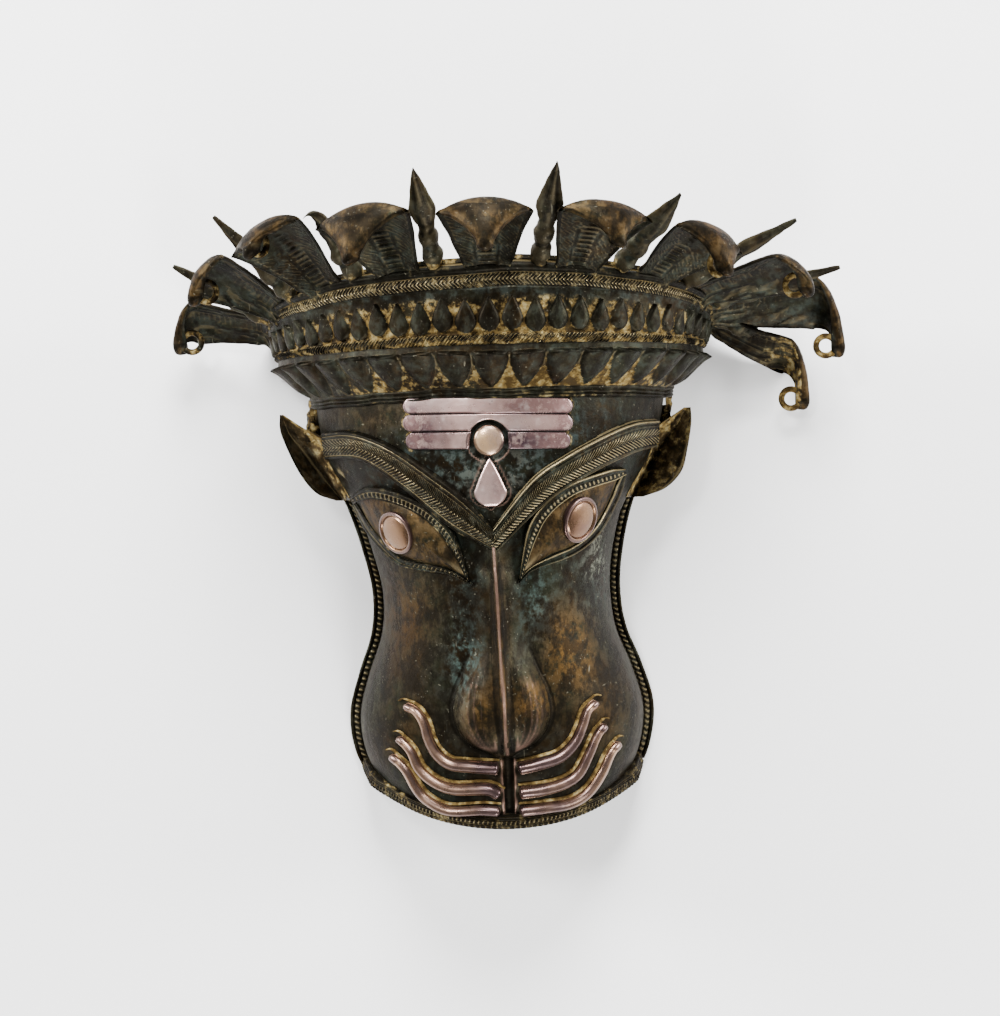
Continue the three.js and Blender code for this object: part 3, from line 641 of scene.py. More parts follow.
def face_stains_and_sheen(rings):
    x, y, z = rings[..., 0], rings[..., 1], rings[..., 2]
    dirt = spots(x, y, DIRT_SPOTS) + 0.5 * np.exp(-((y - 66) / 4) ** 2)
    for points in WHISKERS.values():
        dirt += 0.45 * nearness(x, y, smooth_line(points, 60), 5.5)
    turn = np.linspace(-1.2, 1.2, 12)
    for bar in BARS.values():
        rim = bar["half"] + 0.9
        for end, side in ((bar["from"], -1), (bar["to"], 1)):
            out = side * (rim * np.cos(turn) - bar["half"])
            arc = np.stack([end[0] + out, end[1] + rim * np.sin(turn)], 1)
            dirt += 1.6 * nearness(x, y, arc, 0.9) * (abs(end[0]) > 20)
    for side in ("left", "right"):
        dirt += 0.35 * nearness(x, y, smooth_line(BROWS[side][1], 60) + np.array([0, 1.2]), 1.6)
        dirt += 0.45 * nearness(x, y, smooth_line(LOWER_LIDS[side], 60), 1.6)
    front = z > 40
    # blue: bloom everywhere, plus a painted sheen over the forehead
    return {"dirt": dirt * front, "warm": spots(x, y, RUBBED_SPOTS) * front,
            "teal": spots(x, y, VERDIGRIS_SPOTS) * front, "scuff": spots(x, y, SCUFF_SPOTS) * front,
            "blue": 0.3 + spots(x, y, FOREHEAD_SHEEN_SPOTS)}


class MASK_OT_face(bpy.types.Operator):
    """Face shell with its nose, sockets, groove and the channels round the inlays"""
    bl_idname = "mask.face"
    bl_label = "Face"

    def execute(self, context):
        rings = face_rings()
        # The face's crests take a pink-brown polish colour with a painted highlight
        material = bronze("face_bronze", edges=0.6, polished_and_highlighted=FACE_POLISH_AND_HIGHLIGHT)
        skin("face", rings, material, span=3.8, **face_stains_and_sheen(rings))
        return {"FINISHED"}


class MASK_OT_brows(bpy.types.Operator):
    """Two brows with a double row of slanting strokes between smooth lines"""
    bl_idname = "mask.brows"
    bl_label = "Brows"

    def execute(self, context):
        pitch = sizes().brow_stroke / MM
        relief = sizes().brow_relief / MM

        def profile(along, part, width):
            slanted = strokes((along + 1.15 * width * np.abs(part - 0.47)) / pitch)
            rows = (part > 0.2) & (part < 0.72)
            fade = bump(part, 0.33, 0.15) + bump(part, 0.6, 0.14)
            lines = 0.9 * bump(part, 0.12, 0.05) + 1.1 * bump(part, 0.78, 0.05) + 1.2 * bump(part, 0.9, 0.06)
            lines = lines + 0.5 * bump(part, 0.985, 0.02)
            body = 3.0 * unit(part / 0.06) * unit((1 - part) / 0.05)
            return body + 0.8 * lines + rows * unit(fade) * (0.5 + relief * slanted)

        for side, (low, high) in BROWS.items():
            rings = band(low, high, profile, 0.42, 58)
            rings += 0.2 * ripple(rings, 14, 7)[..., None] * np.array([0, 0, 1])
            skin("brow_" + side, rings, bronze("brow_bronze", residue=0.75, edges=1.3),
                 dirt=0.3, warm=0.1, teal=0.15, blue=0.25)
        return {"FINISHED"}


def eyeball_rings(outline):
    edge = smooth_line(outline, 110, closed=True)
    middle = edge.mean(0)
    parts = np.linspace(0.02, 1, 26)[:, None, None]
    flat = middle + (edge[None] - middle) * parts
    lift = EYE_HEIGHT * (1 - parts[..., 0] ** 2.4) ** 0.8 - 0.6
    top = on_face(flat[..., 0], flat[..., 1], lift)
    under = on_face(flat[[-1, 0], :, 0], flat[[-1, 0], :, 1], -2.4)
    return np.concatenate([top, under])


def disc_rings(eye, ball):
    """Domed disc in a ring, level with the part of the eyeball below it."""
    p = ball.reshape(-1, 3)
    away = ((p[:, 0] - eye["x"]) / eye["across"]) ** 2 + ((p[:, 1] - eye["y"]) / eye["up"]) ** 2
    below = p[away < 1] - np.array([eye["x"], eye["y"], 0])
    below = below[below[:, 2] > face_z(eye["x"], eye["y"]) - 8]
    plane = np.linalg.lstsq(np.c_[below[:, :2], np.ones(len(below))], below[:, 2], rcond=None)[0]
    over = (below[:, 2] - np.c_[below[:, :2], np.ones(len(below))] @ plane).max()
    out = np.array([-plane[0], -plane[1], 1]) / math.hypot(plane[0], plane[1], 1)
    level = normalised(np.cross([0, 1, 0], out))
    seat = np.array([eye["x"], eye["y"], plane[2] + 0.8 * over])
    radius = np.append(np.linspace(0.02, 1, 36), [1, 0.02])
    height = 1.9 * unit(1 - (radius / 0.8) ** 2.2) ** 0.7 + 0.7
    height = height + 0.9 * bump(radius, 0.91, 0.1) - 0.25 * bump(radius, 0.8, 0.05)
    height[-2:] = -3
    angle = np.linspace(0, 2 * math.pi, 72, endpoint=False)
    x = eye["across"] * radius[:, None] * np.cos(angle)
    y = eye["up"] * radius[:, None] * np.sin(angle)
    return seat + x[..., None] * level + y[..., None] * np.cross(out, level) + height[:, None, None] * out


class MASK_OT_eyes(bpy.types.Operator):
    """Eyeballs, beaded lids and the copper discs of the eyes"""
    bl_idname = "mask.eyes"
    bl_label = "Eyes"

    def execute(self, context):
        bead = sizes().lid_bead / MM

        def upper(along, part, width):
            beads = bump(part, 0.4, 0.2) * (0.35 + 0.8 * strokes(along / bead + 0.5 * part, 0.6))
            lines = 0.8 * bump(part, 0.1, 0.1) + 1.5 * bump(part, 0.8, 0.2)
            return 1.5 * unit(part / 0.08) + lines + beads

        def lower(along, part, width):
            beads = bump(part, 0.5, 0.24) * strokes(along / bead + 0.3 * part, 0.6)
            inner = unit((along - (45 if side == "left" else 400)) / 20)
            return 0.6 + 1.1 * bump(part, 0.14, 0.14) + 1.1 * bump(part, 0.86, 0.14) + beads * inner

        for side, outline in (("left", LEFT_EYEBALL), ("right", RIGHT_EYEBALL)):
            ball_rings = eyeball_rings(outline)
            skin("eyeball_" + side, ball_rings, bronze("eyeball_bronze", residue=0.4, edges=0.4),
                 dirt=0.1, warm=0.7, teal=0.1)
            taper = np.interp(np.linspace(0, 1, 40), [0, 0.08, 0.7, 1], [0.5, 1, 1, 0.22])
            for name, line, half, profile in (("upper", UPPER_LIDS[side], 3.7, upper),
                                              ("lower", LOWER_LIDS[side], 2.3, lower)):
                low, high = offset_lines(line, half * taper)
                if side == "left":
                    low, high = high, low
                skin(f"{name}_lid_{side}", band(high, low, profile, 0.5, 24),
                     bronze("lid_bronze", residue=0.7, edges=1.3), dirt=0.4, teal=0.12, blue=0.3)
            skin("eye_inlay_" + side, disc_rings(PUPILS[side], ball_rings),
                 copper("eye_copper", pink=0.9, gold=0.4, tarnish=1.38),
                 slot="copper", nodes=("eye_disc_" + side,))
        return {"FINISHED"}


# Copper marks

def pillow(x, y, height, edge_part):
    """Rings of a low cushion over a grid of face points; edge_part is 0 on its border and 1 inside."""
    shape = np.sqrt(1 - (1 - unit(edge_part)) ** 2)
    return raised(x, y, 0.15 + height * shape, -1.2)


def bar_rings(bar, height):
    (x0, y0), (x1, y1) = bar["from"], bar["to"]
    half = bar["half"]
    w = crowded(25)[None]
    t = np.linspace(0, 1, steps(x1 - x0, 0.8))[:, None]
    round_end = half * (1 - np.sqrt(1 - w ** 2))
    left = x0 + round_end
    right = x1 - round_end
    reach = np.sqrt(np.clip(DISC["recess"] ** 2 - (y0 + half * w - DISC["y"]) ** 2, 0, None))
    if x1 < DISC["x"]:
        right = DISC["x"] - reach
    elif x0 > DISC["x"]:
        left = DISC["x"] + reach
    x = left + (right - left) * t
    slope = (y1 - y0) / (x1 - x0)
    low = y0 - half + slope * (x - x0)
    if x0 < DISC["x"] < x1:
        over = DISC["y"] + np.sqrt(np.clip(DISC["recess"] ** 2 - (x - DISC["x"]) ** 2, 0, None))
        low = np.maximum(low, np.where(np.abs(x - DISC["x"]) < DISC["recess"], over, low))
    high = y0 + half + slope * (x - x0)
    y = low + (high - low) * (w + 1) / 2
    edge = np.minimum(np.minimum(y - low, high - y), np.minimum(x - left, right - x) + 0.15)
    return pillow(x, y, height, edge / 0.8)


def disc_mark_rings(height):
    radius = np.append(np.linspace(0.02, 1, 20), [1, 0.02])
    angle = np.linspace(0, 2 * math.pi, 64, endpoint=False)
    x = DISC["x"] + DISC["radius"] * radius[:, None] * np.cos(angle)
    y = DISC["y"] + DISC["radius"] * radius[:, None] * np.sin(angle)
    lift = 0.2 + (height + 0.9) * np.sqrt(unit(1 - radius ** 2.6))
    lift[-2:] = -1.6
    return on_face(x, y, lift[:, None])


def drop_mark_rings(height):
    middle, reach = (DROP["top"] + DROP["bottom"]) / 2, (DROP["top"] - DROP["bottom"]) / 2
    y = middle + reach * crowded(40)[:, None]
    half = drop_half(y) + 0.05
    x = DROP["x"] + half * crowded(25)[None]
    y = np.broadcast_to(y, x.shape)
    edge = np.minimum(half - np.abs(x - DROP["x"]), np.minimum(DROP["top"] - y, y - DROP["bottom"]))
    return pillow(x, y, height, edge / 2.4)


class MASK_OT_marks(bpy.types.Operator):
    """Copper bars, disc and drop of the forehead"""
    bl_idname = "mask.marks"
    bl_label = "Forehead marks"

    def execute(self, context):
        height = sizes().mark_height / MM
        shapes = {name: bar_rings(bar, height) for name, bar in BARS.items()}
        shapes["forehead_disc"] = disc_mark_rings(height)
        shapes["forehead_drop"] = drop_mark_rings(height)
        plain, golden = copper("mark_copper"), copper("disc_copper", pink=0.3, gold=1.2)
        for name, rings in shapes.items():
            skin(name + "_copper", rings, golden if name == "forehead_disc" else plain, slot="copper",
                 nodes=(name,), blue=spots(rings[..., 0], rings[..., 1], PURPLE_SPOTS))
        return {"FINISHED"}


def whisker_rings(points, half):
    n = steps(110, 0.8)
    line = smooth_line(points, n)
    part = np.linspace(0, 1, n)
    size = half * (1 - 0.42 * part ** 2) * np.clip(np.sqrt(part / 0.02), 0.25, 1)
    size = size * (1 + 0.16 * bump(part, 0.965, 0.04)) * np.clip(np.sqrt((1 - part) / 0.02), 0.3, 1)
    across = 1.28 * crowded(25)
    flat = line[:, None] + square_to(line)[:, None] * across[None, :, None] * size[:, None, None]
    low_side = 1 if points[-1][0] < points[0][0] else -1
    lift = 1.4 * size[:, None] * bump(across, -0.08 * low_side, 1.02)[None]
    lift = lift + 0.55 * bump(across * low_side, 1.13, 0.14)[None] + 0.1
    return raised(flat[..., 0], flat[..., 1], lift, -2.2)


class MASK_OT_whiskers(bpy.types.Operator):
    """Six copper whisker strands on the muzzle, each with a raised lip"""
    bl_idname = "mask.whiskers"
    bl_label = "Whiskers"

    def execute(self, context):
        half = sizes().strand_half / MM
        for name, points in WHISKERS.items():
            material = copper("strand_copper", pink=1.1, gold=0.5, tarnish=0.85)
            skin(name + "_copper", whisker_rings(points, half), material, slot="copper", nodes=(name,))
            self.channel_lip(name, points, half)
        return {"FINISHED"}

    def channel_lip(self, name, points, half):
        """Raised bronze lip along the upper side of a strand and round its outer end."""
        upper = 0 if points[-1][0] < points[0][0] else 1
        gap = half * np.linspace(1.7, 1.3, 40)
        line = offset_lines(points, gap)[upper]
        end = np.asarray(points[-1], float)
        spoke = line[-1] - end
        turn = np.radians(np.linspace(0, 70, 7)[1:]) * (1 if upper == 0 else -1)
        arc = end + np.stack([spoke[0] * np.cos(turn) - spoke[1] * np.sin(turn),
                              spoke[0] * np.sin(turn) + spoke[1] * np.cos(turn)], 1)
        taper = np.interp(np.linspace(0, 1, 40), [0, 0.1, 0.85, 1], [0.6, 0.95, 0.95, 0.4])
        low, high = offset_lines(np.concatenate([line, arc]), taper)
        rings = band(low, high, lambda along, part, width: 1.5 * bump(part, 0.5, 0.5), 0.6, 10)
        skin(name + "_lip", rings, bronze("lip_bronze", residue=1, edges=0.4),
             dirt=3.2 + 0.5 * np.sin(np.arange(rings.shape[1])))


# Edges

def tube_rings(path, radius, sides):
    """Round tube along a path of points."""
    d = normalised(np.gradient(path, axis=0))
    flat = normalised(np.cross(d, np.array([0, 0, 1])))
    up = np.cross(flat, d)
    angle = np.linspace(0, 2 * math.pi, sides, endpoint=False)[None, :, None]
    return path[:, None] + radius * (np.cos(angle) * flat[:, None] + np.sin(angle) * up[:, None])


def lower_edge_point(angle, up):
    """Point over the lower edge of the face at an angle round from the front."""
    y = np.full_like(angle, -180.0)
    for _ in range(10):
        p = face_point(np.sin(angle), y)
        side = unit((np.abs(angle) - math.pi / 2 + 0.12) / 0.12)
        z = p[..., 2] * (1 - side) + 3.5 * side
        y = LOWER_EDGE["at_rear"] - LOWER_EDGE["slope"] * z - LOWER_EDGE["lean"] * p[..., 0] + up
    return np.stack([p[..., 0], y, z], -1)


class MASK_OT_edges(bpy.types.Operator):
    """Roped border under the chin and the ropes down both sides"""
    bl_idname = "mask.edges"
    bl_label = "Edges"

    def execute(self, context):
        pitch = sizes().rope_pitch / MM
        self.lower_border(pitch)
        for side in (-1, 1):
            self.side_rope(side, pitch)
        return {"FINISHED"}

    def side_rope(self, side, pitch):
        """Flange outside the cheek: a plain rim, a rope and a fine inner line."""
        y = np.linspace(-160, 20, steps(180, 0.5))[:, None]
        edge = face_point(np.full_like(y, side), y)[..., 0]
        part = np.linspace(0, 1, 22)[None]
        width = border(y) + 3.2
        x = edge - side * 0.9 + side * width * part
        twist = strokes((y + side * 2.4 * part) / pitch)
        lift = 5.2 + 1.3 * bump(part, 0.46, 0.24) * (0.45 + 0.75 * twist)
        lift = lift + 0.8 * bump(part, 0.12, 0.1) + 1.4 * bump(part, 0.87, 0.15)
        top = np.stack([x, y + 0 * x, lift + 0 * x], -1)
        under = top[:, [-1, 11, 0]] * np.array([1, 1, 0]) + np.array([0, 0, 0.05])
        rings = np.concatenate([top, under], 1)
        if side < 0:
            rings = rings[:, ::-1]
        shine = np.append(np.where(part[0] < 0.72, 1, 0.3), np.zeros(3))
        skin("side_rope_" + ("left" if side < 0 else "right"), rings,
             bronze("edge_bronze", residue=0.7, edges=0.8),
             shine=shine[::-1] if side < 0 else shine, dirt=0.3, warm=0.15, teal=0.1, blue=0.2)

    def lower_border(self, pitch):
        n = steps(330, 0.55)
        angle = crowded(n, 0.999) * math.pi / 2
        rows = np.linspace(0, 1, 36)
        width = 9.5
        base = np.stack([lower_edge_point(angle, width * r) for r in rows], 1)
        aside = unit((np.abs(angle) - 0.9) / 0.5) ** 2
        base[..., 0] += (np.sign(angle) * aside)[:, None] * (BORDER + 1) * (1 - rows ** 1.5)
        base[..., 2] += aside[:, None] * 4.5 * rows
        forward = np.maximum(np.cos(angle), 0.7 * aside)
        out = normalised(np.stack([np.sin(angle), -0.25 * np.ones(n), forward], 1))
        flap = unit((np.abs(angle) - 1.2) / 0.1)
        along = run_along(lower_edge_point(angle, 0))[:, None]
        lift = 1.6 * bump(rows, 0.1, 0.13)[None] * (0.6 + 0.5 * strokes(along / pitch + 0.6 * rows, 0.6))
        lift = lift + bump(rows, 0.4, 0.14)[None] * (0.4 + strokes(along / 2.7 - 0.9 * rows))
        lift = lift + 1.2 * bump(rows, 0.62, 0.06)[None] + 1.2 * bump(rows, 0.77, 0.06)[None]
        lift = lift + 0.9 * bump(rows, 0.92, 0.06)[None] + 0.9 * unit((1 - rows) / 0.06)[None]
        lift = lift + 1.2 * flap[:, None] * unit(rows / 0.4)[None]
        top = base + out[:, None] * lift[..., None]
        under = base[:, [-1, 18, 0]] - out[:, None] * 1.6
        skin("lower_border", over_rim(np.concatenate([top, under], 1)),
             bronze("edge_bronze", residue=0.7, edges=0.8),
             shine=1.6, dirt=0.6, warm=0.15, teal=0.1, blue=0.3)


# Crown

def rim_top(azimuth):
    return RIM_SIDES + RIM_RISE * np.cos(np.radians(azimuth))


def round_crown(azimuth, radius, y):
    a = np.radians(azimuth)
    a, radius, y = np.broadcast_arrays(a, radius, y)
    return np.stack([radius * np.sin(a), y, CROWN_Z + radius * np.cos(a)], -1)


def with_back(values, rings, fill=0):
    """Values for the outer side of a wall, carried on with one value over its inner side."""
    outside = np.broadcast_to(values, (len(rings), values.shape[1]))
    return np.pad(outside, ((0, 0), (0, rings.shape[1] - values.shape[1])), constant_values=fill)


def teardrop(across, part):
    """Height of a teardrop and of the line round it at a place: part is 0 to 1 up its length, across
    is in millimetres from its middle."""
    low = unit(part / 0.36)
    high = unit((part - 0.36) / 0.64)
    half = 6.5 * np.where(part < 0.36, np.sqrt(1 - (1 - low) ** 2), (1 - high ** 1.35) ** 0.9)
    inside = (part > 0) & (part < 1)
    body = unit(1 - (np.abs(across) / np.maximum(half, 0.1)) ** 2.4) ** 0.5 * inside
    rim = bump(np.abs(across) - half, 0.55, 0.6) * (part > 0.1) * (part < 1.04)
    return body, rim


def upper_tier_rings():
    """Band of teardrops between its rows of strokes, up to the roll and the collar."""
    azimuth = np.linspace(-CROWN_END, CROWN_END, steps(508, 0.53))[:, None]
    part = np.linspace(-0.04, 1.1, 92)[None]
    radius = np.interp(part, [-0.04, 0.12, 0.62, 0.9, 1.0, 1.1], [130.2, 132, 135, 137, 137.4, 136.4])
    rise = rim_top(azimuth) - BAND_BOTTOM
    y = BAND_BOTTOM + part * rise
    arc = np.radians(azimuth) * RIM_RADIUS
    pitch = sizes().crown_stroke / MM
    lift = np.zeros((azimuth.shape[0], part.shape[1]))
    lift += bump(part, 0.055, 0.065) * (0.7 + 1.6 * strokes((arc - 0.95 * part * rise) / pitch))
    lift += 0.9 * bump(part, 0.125, 0.012)
    index = np.round(azimuth / DROP_PITCH)
    across = np.radians(azimuth - index * DROP_PITCH) * RIM_RADIUS
    wobble = 0.02 * np.sin(index * 2.3)
    body, rim = teardrop(across, (part - 0.145 - wobble) / 0.44)
    lift += sizes().drop_height / MM * body + 0.12 * rim
    lift += 0.7 * bump(part, 0.705, 0.012)
    for middle, sign in ((0.752, 1), (0.832, -1)):
        row = bump(part, middle, 0.044)
        lift += row * (0.5 + 0.9 * strokes((arc + sign * 1.1 * (part - 0.792) * rise) / pitch))
    lift += 3.4 * bump(part, 0.943, 0.064)
    lift -= 0.8 * bump(part, 1.01, 0.02)
    lift += 0.3 * ripple(round_crown(azimuth, radius, y), 16, 11)
    wave = ripple(round_crown(azimuth, 137, 0), 40, 12)
    outside = round_crown(azimuth, radius + lift, y + wave * unit(part))
    inner_part = np.linspace(1.1, -0.04, 10)[None]
    inner_radius = np.interp(inner_part, [-0.04, 0.1, 1.1], [123, 125, 133])
    inner_y = BAND_BOTTOM + inner_part * rise + wave * unit(inner_part)
    inside = round_crown(azimuth, inner_radius, inner_y)
    return over_rim(np.concatenate([outside, inside], 1)), azimuth, part, body


def lower_tier_rings():
    """Petals over fine lines, leaning out from the top of the face."""
    azimuth = np.linspace(-CROWN_END, CROWN_END, steps(470, 0.8))[:, None]
    height = np.linspace(0, 1, 60)[None]
    rise = BAND_BOTTOM - PETAL_BOTTOM
    y = PETAL_BOTTOM + rise * height
    radius = np.interp(y, [PETAL_BOTTOM, 68, 70.5, 90, BAND_BOTTOM], [110.9, 111.4, 113, 131.5, 131])
    index = np.round(azimuth / PETAL_PITCH)
    across = np.radians(azimuth - index * PETAL_PITCH) * radius
    up = (y - 71) / 18.5
    half = np.interp(up, [0, 0.08, 0.25, 0.45, 0.65, 0.85, 1], [1.6, 3.4, 6, 8.2, 9.7, 10.3, 9.6])
    inside = (up > -0.03) & (up < 1.05)
    body = unit(1 - (np.abs(across) / half) ** 2.2) ** 0.7 * inside
    body = body * unit((up + 0.03) / 0.2) ** 0.5 * unit((1.05 - up) / 0.12) ** 0.5
    knob = np.exp(-(across / 2.2) ** 2 - ((up - 0.93) / 0.09) ** 2)
    lift = sizes().petal_height / MM * body * (0.75 + 0.35 * up) + 1.8 * knob
    lift += 0.9 * bump(y, 68.6, 0.9) + 0.9 * bump(y, 66.5, 0.8) + 1.0 * bump(y, 64.4, 0.9)
    ends = unit((np.abs(azimuth) - 72) / 34) ** 1.6
    wave = 0.7 * ripple(round_crown(azimuth, 112, 0), 26, 21) + 9 * ends * (1 - height)
    lift += 0.35 * ripple(round_crown(azimuth, radius, y), 13, 22)
    flare = unit((np.abs(azimuth) - 90) / 16) ** 2
    outside = round_crown(azimuth, radius + lift + 5 * flare * height, y + wave)
    back = np.linspace(1, 0, 8)[None]
    inner_radius = np.interp(back, [0, 0.2, 1], [106.2, 107, 125])
    inner_y = PETAL_BOTTOM + rise * back + 9 * ends * (1 - back)
    inside_wall = round_crown(azimuth, inner_radius, inner_y)
    front = np.clip(1.3 - np.abs(azimuth - 14) / 55, 0.12, 1)
    patches = np.clip(0.8 + 0.6 * ripple(round_crown(azimuth, 112, 0), 50, 33), 0.3, 1.6)
    gaps = 4 * patches * (1 - unit(4 * body)) * unit(1.4 - 1.3 * up)
    dirt = np.where(y > 70, gaps, 0.5 * patches) * front
    rings = over_rim(np.concatenate([outside, inside_wall], 1))
    return rings, with_back(dirt, rings)


class MASK_OT_crown(bpy.types.Operator):
    """Two-tier crown: petals below, teardrops between rows of strokes above"""
    bl_idname = "mask.crown"
    bl_label = "Crown"

    def execute(self, context):
        rings, azimuth, part, body = upper_tier_rings()
        drops = unit((part - 0.1) / 0.03) * unit((0.66 - part) / 0.12)
        low_down = np.clip((0.68 - part) / 0.34, 0.35, 1)
        dirt = 2.3 * drops * low_down * (1 - unit(3 * body))
        dirt = dirt + 0.8 * bump(part, 0, 0.05) + 0.6 * bump(part, 0.055, 0.07)
        dirt = dirt * np.clip(1.15 - np.abs(azimuth) / 110, 0.35, 1)
        dirt = dirt + 0.45 * bump(part, 0.752, 0.05) + 0.45 * bump(part, 0.832, 0.05)
        dirt = dirt + 0.6 * bump(part, 1.06, 0.04)
        blue = 0.2 + 0.6 * (bump(part, 0.66, 0.1) + 0.3 * (part > 0.7))
        shine = np.where(part < 0.13, 2.2, np.where(part < 0.7, 0.35, 1.5))
        material = bronze("crown_bronze", residue=1.0, edges=1.2)
        skin("teardrop_tier", rings, material, shine=with_back(shine, rings), dirt=with_back(dirt, rings),
             warm=0.12, teal=0.15, blue=with_back(blue, rings, 0.2))
        rings, dirt = lower_tier_rings()
        skin("petal_tier", rings, material, shine=0.5, dirt=dirt, warm=0.1, teal=0.15, blue=0.3)
        return {"FINISHED"}


# Hoods and spikes

def rim_frame(azimuth, roll=0):
    a = math.radians(azimuth)
    tilt = math.radians(roll)
    foot = round_crown(azimuth, RIM_RADIUS, rim_top(azimuth))
    out = np.array([math.sin(a), 0, math.cos(a)])
    up = np.array([0, 1, 0])
    level = np.array([math.cos(a), 0, -math.sin(a)])
    return foot, out, up, level * math.cos(tilt) - up * math.sin(tilt)


def hood_rings(hood):
    reach, fold, snout, flare = (hood[k] for k in ("reach", "fold", "snout", "flare"))
    drop = fold - snout
    line = [
        (-3.4, -7.3, 13, 3), (4, 1 + 0.05 * fold, 14.5, 3), (0.45 * reach, 0.65 * fold, flare * 0.8, 2.6),
        (0.77 * reach, fold, flare, 2.6), (0.9 * reach, fold - 0.12 * drop, flare * 0.88, 3),
        (0.97 * reach, fold - 0.45 * drop, flare * 0.5, 4.5), (reach - 2, snout + 6, 5.6, 8.5),
        (reach - 2.2, snout + 1.5, 4.6, 7.5), (reach - 2.5, snout - 0.6, 1.2, 2),
    ]
    line = smooth_line(line, 92)
    out, up, half, thick = (line[:, k][:, None] for k in range(4))
    n_out, n_up = (n[:, None] for n in square_to(line[:, :2]).T)
    part = np.linspace(0, 1, len(line))[:, None]
    v = crowded(34, 0.97)[None]
    foot, d_out, d_up, d_side = rim_frame(hood["azimuth"], hood["roll"])
    run = run_along(line[:, :2])[:, None]
    seed = int(hood["azimuth"] * 10) % 97

    def side_of(v, side, relief):
        bend = HOOD_DROOP * half * v * v * unit(part / 0.14)
        edge = np.sqrt(1 - unit(np.abs(v)) ** 4)
        offset = side * (thick / 2 * edge + relief) - bend
        sideways = v * half + hood["lean"] * part ** 2
        o = out + n_out * offset
        u = up + n_up * offset
        return foot + o[..., None] * d_out + u[..., None] * d_up + (sideways + 0 * o)[..., None] * d_side

    across = v * half
    back = 0.35 * bump(np.abs(v), 0.93, 0.07) + 0.25 * bump(np.abs(across), 0, 2.5) * (part < 0.5)
    flap = unit((0.62 - part) / 0.1)
    ladder = strokes(run / 3.3) * bump(across, 0, 5.5) * flap * unit((part - 0.06) / 0.05)
    net = strokes((run + across) / 3.1, 1.4) + strokes((run - across) / 3.1, 1.4)
    shake = 0.07
    if abs(hood["azimuth"]) > SIDE_HOODS:
        shake = 0.2
        sway = 2.6 * np.sin(run / 11 + seed) + 1.2 * np.sin(run / 4.3)
        ladder = ladder * 0.2
        net = 4.5 * strokes((across + sway) / 8.5, 2.2) * (0.65 + 0.35 * np.sin(run / 5 + across))
    sides = unit((np.abs(across) - 6) / 1.5) * unit((0.97 - np.abs(v)) / 0.1)
    belly = 1.2 * ladder + 0.28 * net * sides * flap + 0.7 * bump(np.abs(across), 6.3, 0.9) * flap
    belly = belly + 0.8 * bump(np.abs(v), 0.95, 0.06)
    top = side_of(v, 1, back)
    under = side_of(v[:, ::-1], -1, belly[:, ::-1])
    rings = np.concatenate([top, under], 1)
    uneven = 0.4 * ripple(rings, 22, seed) + shake * ripple(rings, 7, seed + 1)
    rings = rings + grid_normals(rings) * (uneven * unit(part / 0.1))[..., None] * 0.8
    rub = np.concatenate([np.ones_like(top[..., 0]), 0.1 * np.ones_like(under[..., 0])], 1)
    feet = unit(1 - part / 0.16)
    return over_rim(rings), rub, feet, unit((part - 0.3) / 0.3)


def add_ring(hood):
    """Curled tongue, a wire ring under the snout."""
    foot, out, up, side = rim_frame(hood["azimuth"])
    place = foot + out * (hood["reach"] - 9.5) + up * (hood["snout"] + 6) + side * (hood["lean"] + 0.8)
    bpy.ops.object.select_all(action="DESELECT")
    bpy.ops.mesh.primitive_torus_add(
        location=tuple(place * MM + SHIFT), rotation=(0, math.radians(hood["azimuth"] - 90), 0),
        major_segments=26, minor_segments=10,
        major_radius=RING["radius"] * MM, minor_radius=RING["wire"] * MM)
    piece = bpy.context.object
    piece.name = "tongue_ring_" + hood_name(hood)
    bpy.ops.object.transform_apply(location=True, rotation=True, scale=True)
    dirt = 2.5 if hood["azimuth"] > 0 else 0.9
    store_masks(piece.data, {"dirt": dirt, "warm": 0.4}, (len(piece.data.vertices),))
    finish_piece(piece, bronze("ring_bronze", residue=0.9, edges=1.0), ("mask_casting",))


def hood_name(hood):
    if hood["azimuth"] == 0:
        return "middle"
    side = "left" if hood["azimuth"] < 0 else "right"
    return f"{side}_{round(abs(hood['azimuth']))}"


class MASK_OT_hoods(bpy.types.Operator):
    """Cobra hoods rearing round the rim, all but the middle ones with a curled tongue"""
    bl_idname = "mask.hoods"
    bl_label = "Cobra hoods"

    def execute(self, context):
        for hood in HOODS:
            rings, rub, feet, head = hood_rings(hood)
            turned = abs(hood["azimuth"])
            gold = 0.25 if turned > SIDE_HOODS else 0.1
            if hood["azimuth"] > GOLDEN_HOODS:
                gold = 2.2 * head
            skin("hood_" + hood_name(hood), rings, bronze("hood_bronze", residue=0.6, edges=0.2),
                 dirt=1.2 * feet + gold * (1 - rub) * (1 - feet) ** 3, warm=0.6 * rub, teal=0.1,
                 blue=0.45 * (1 - rub) + 0.05)
            if turned > RINGED_HOODS:
                add_ring(hood)
        return {"FINISHED"}


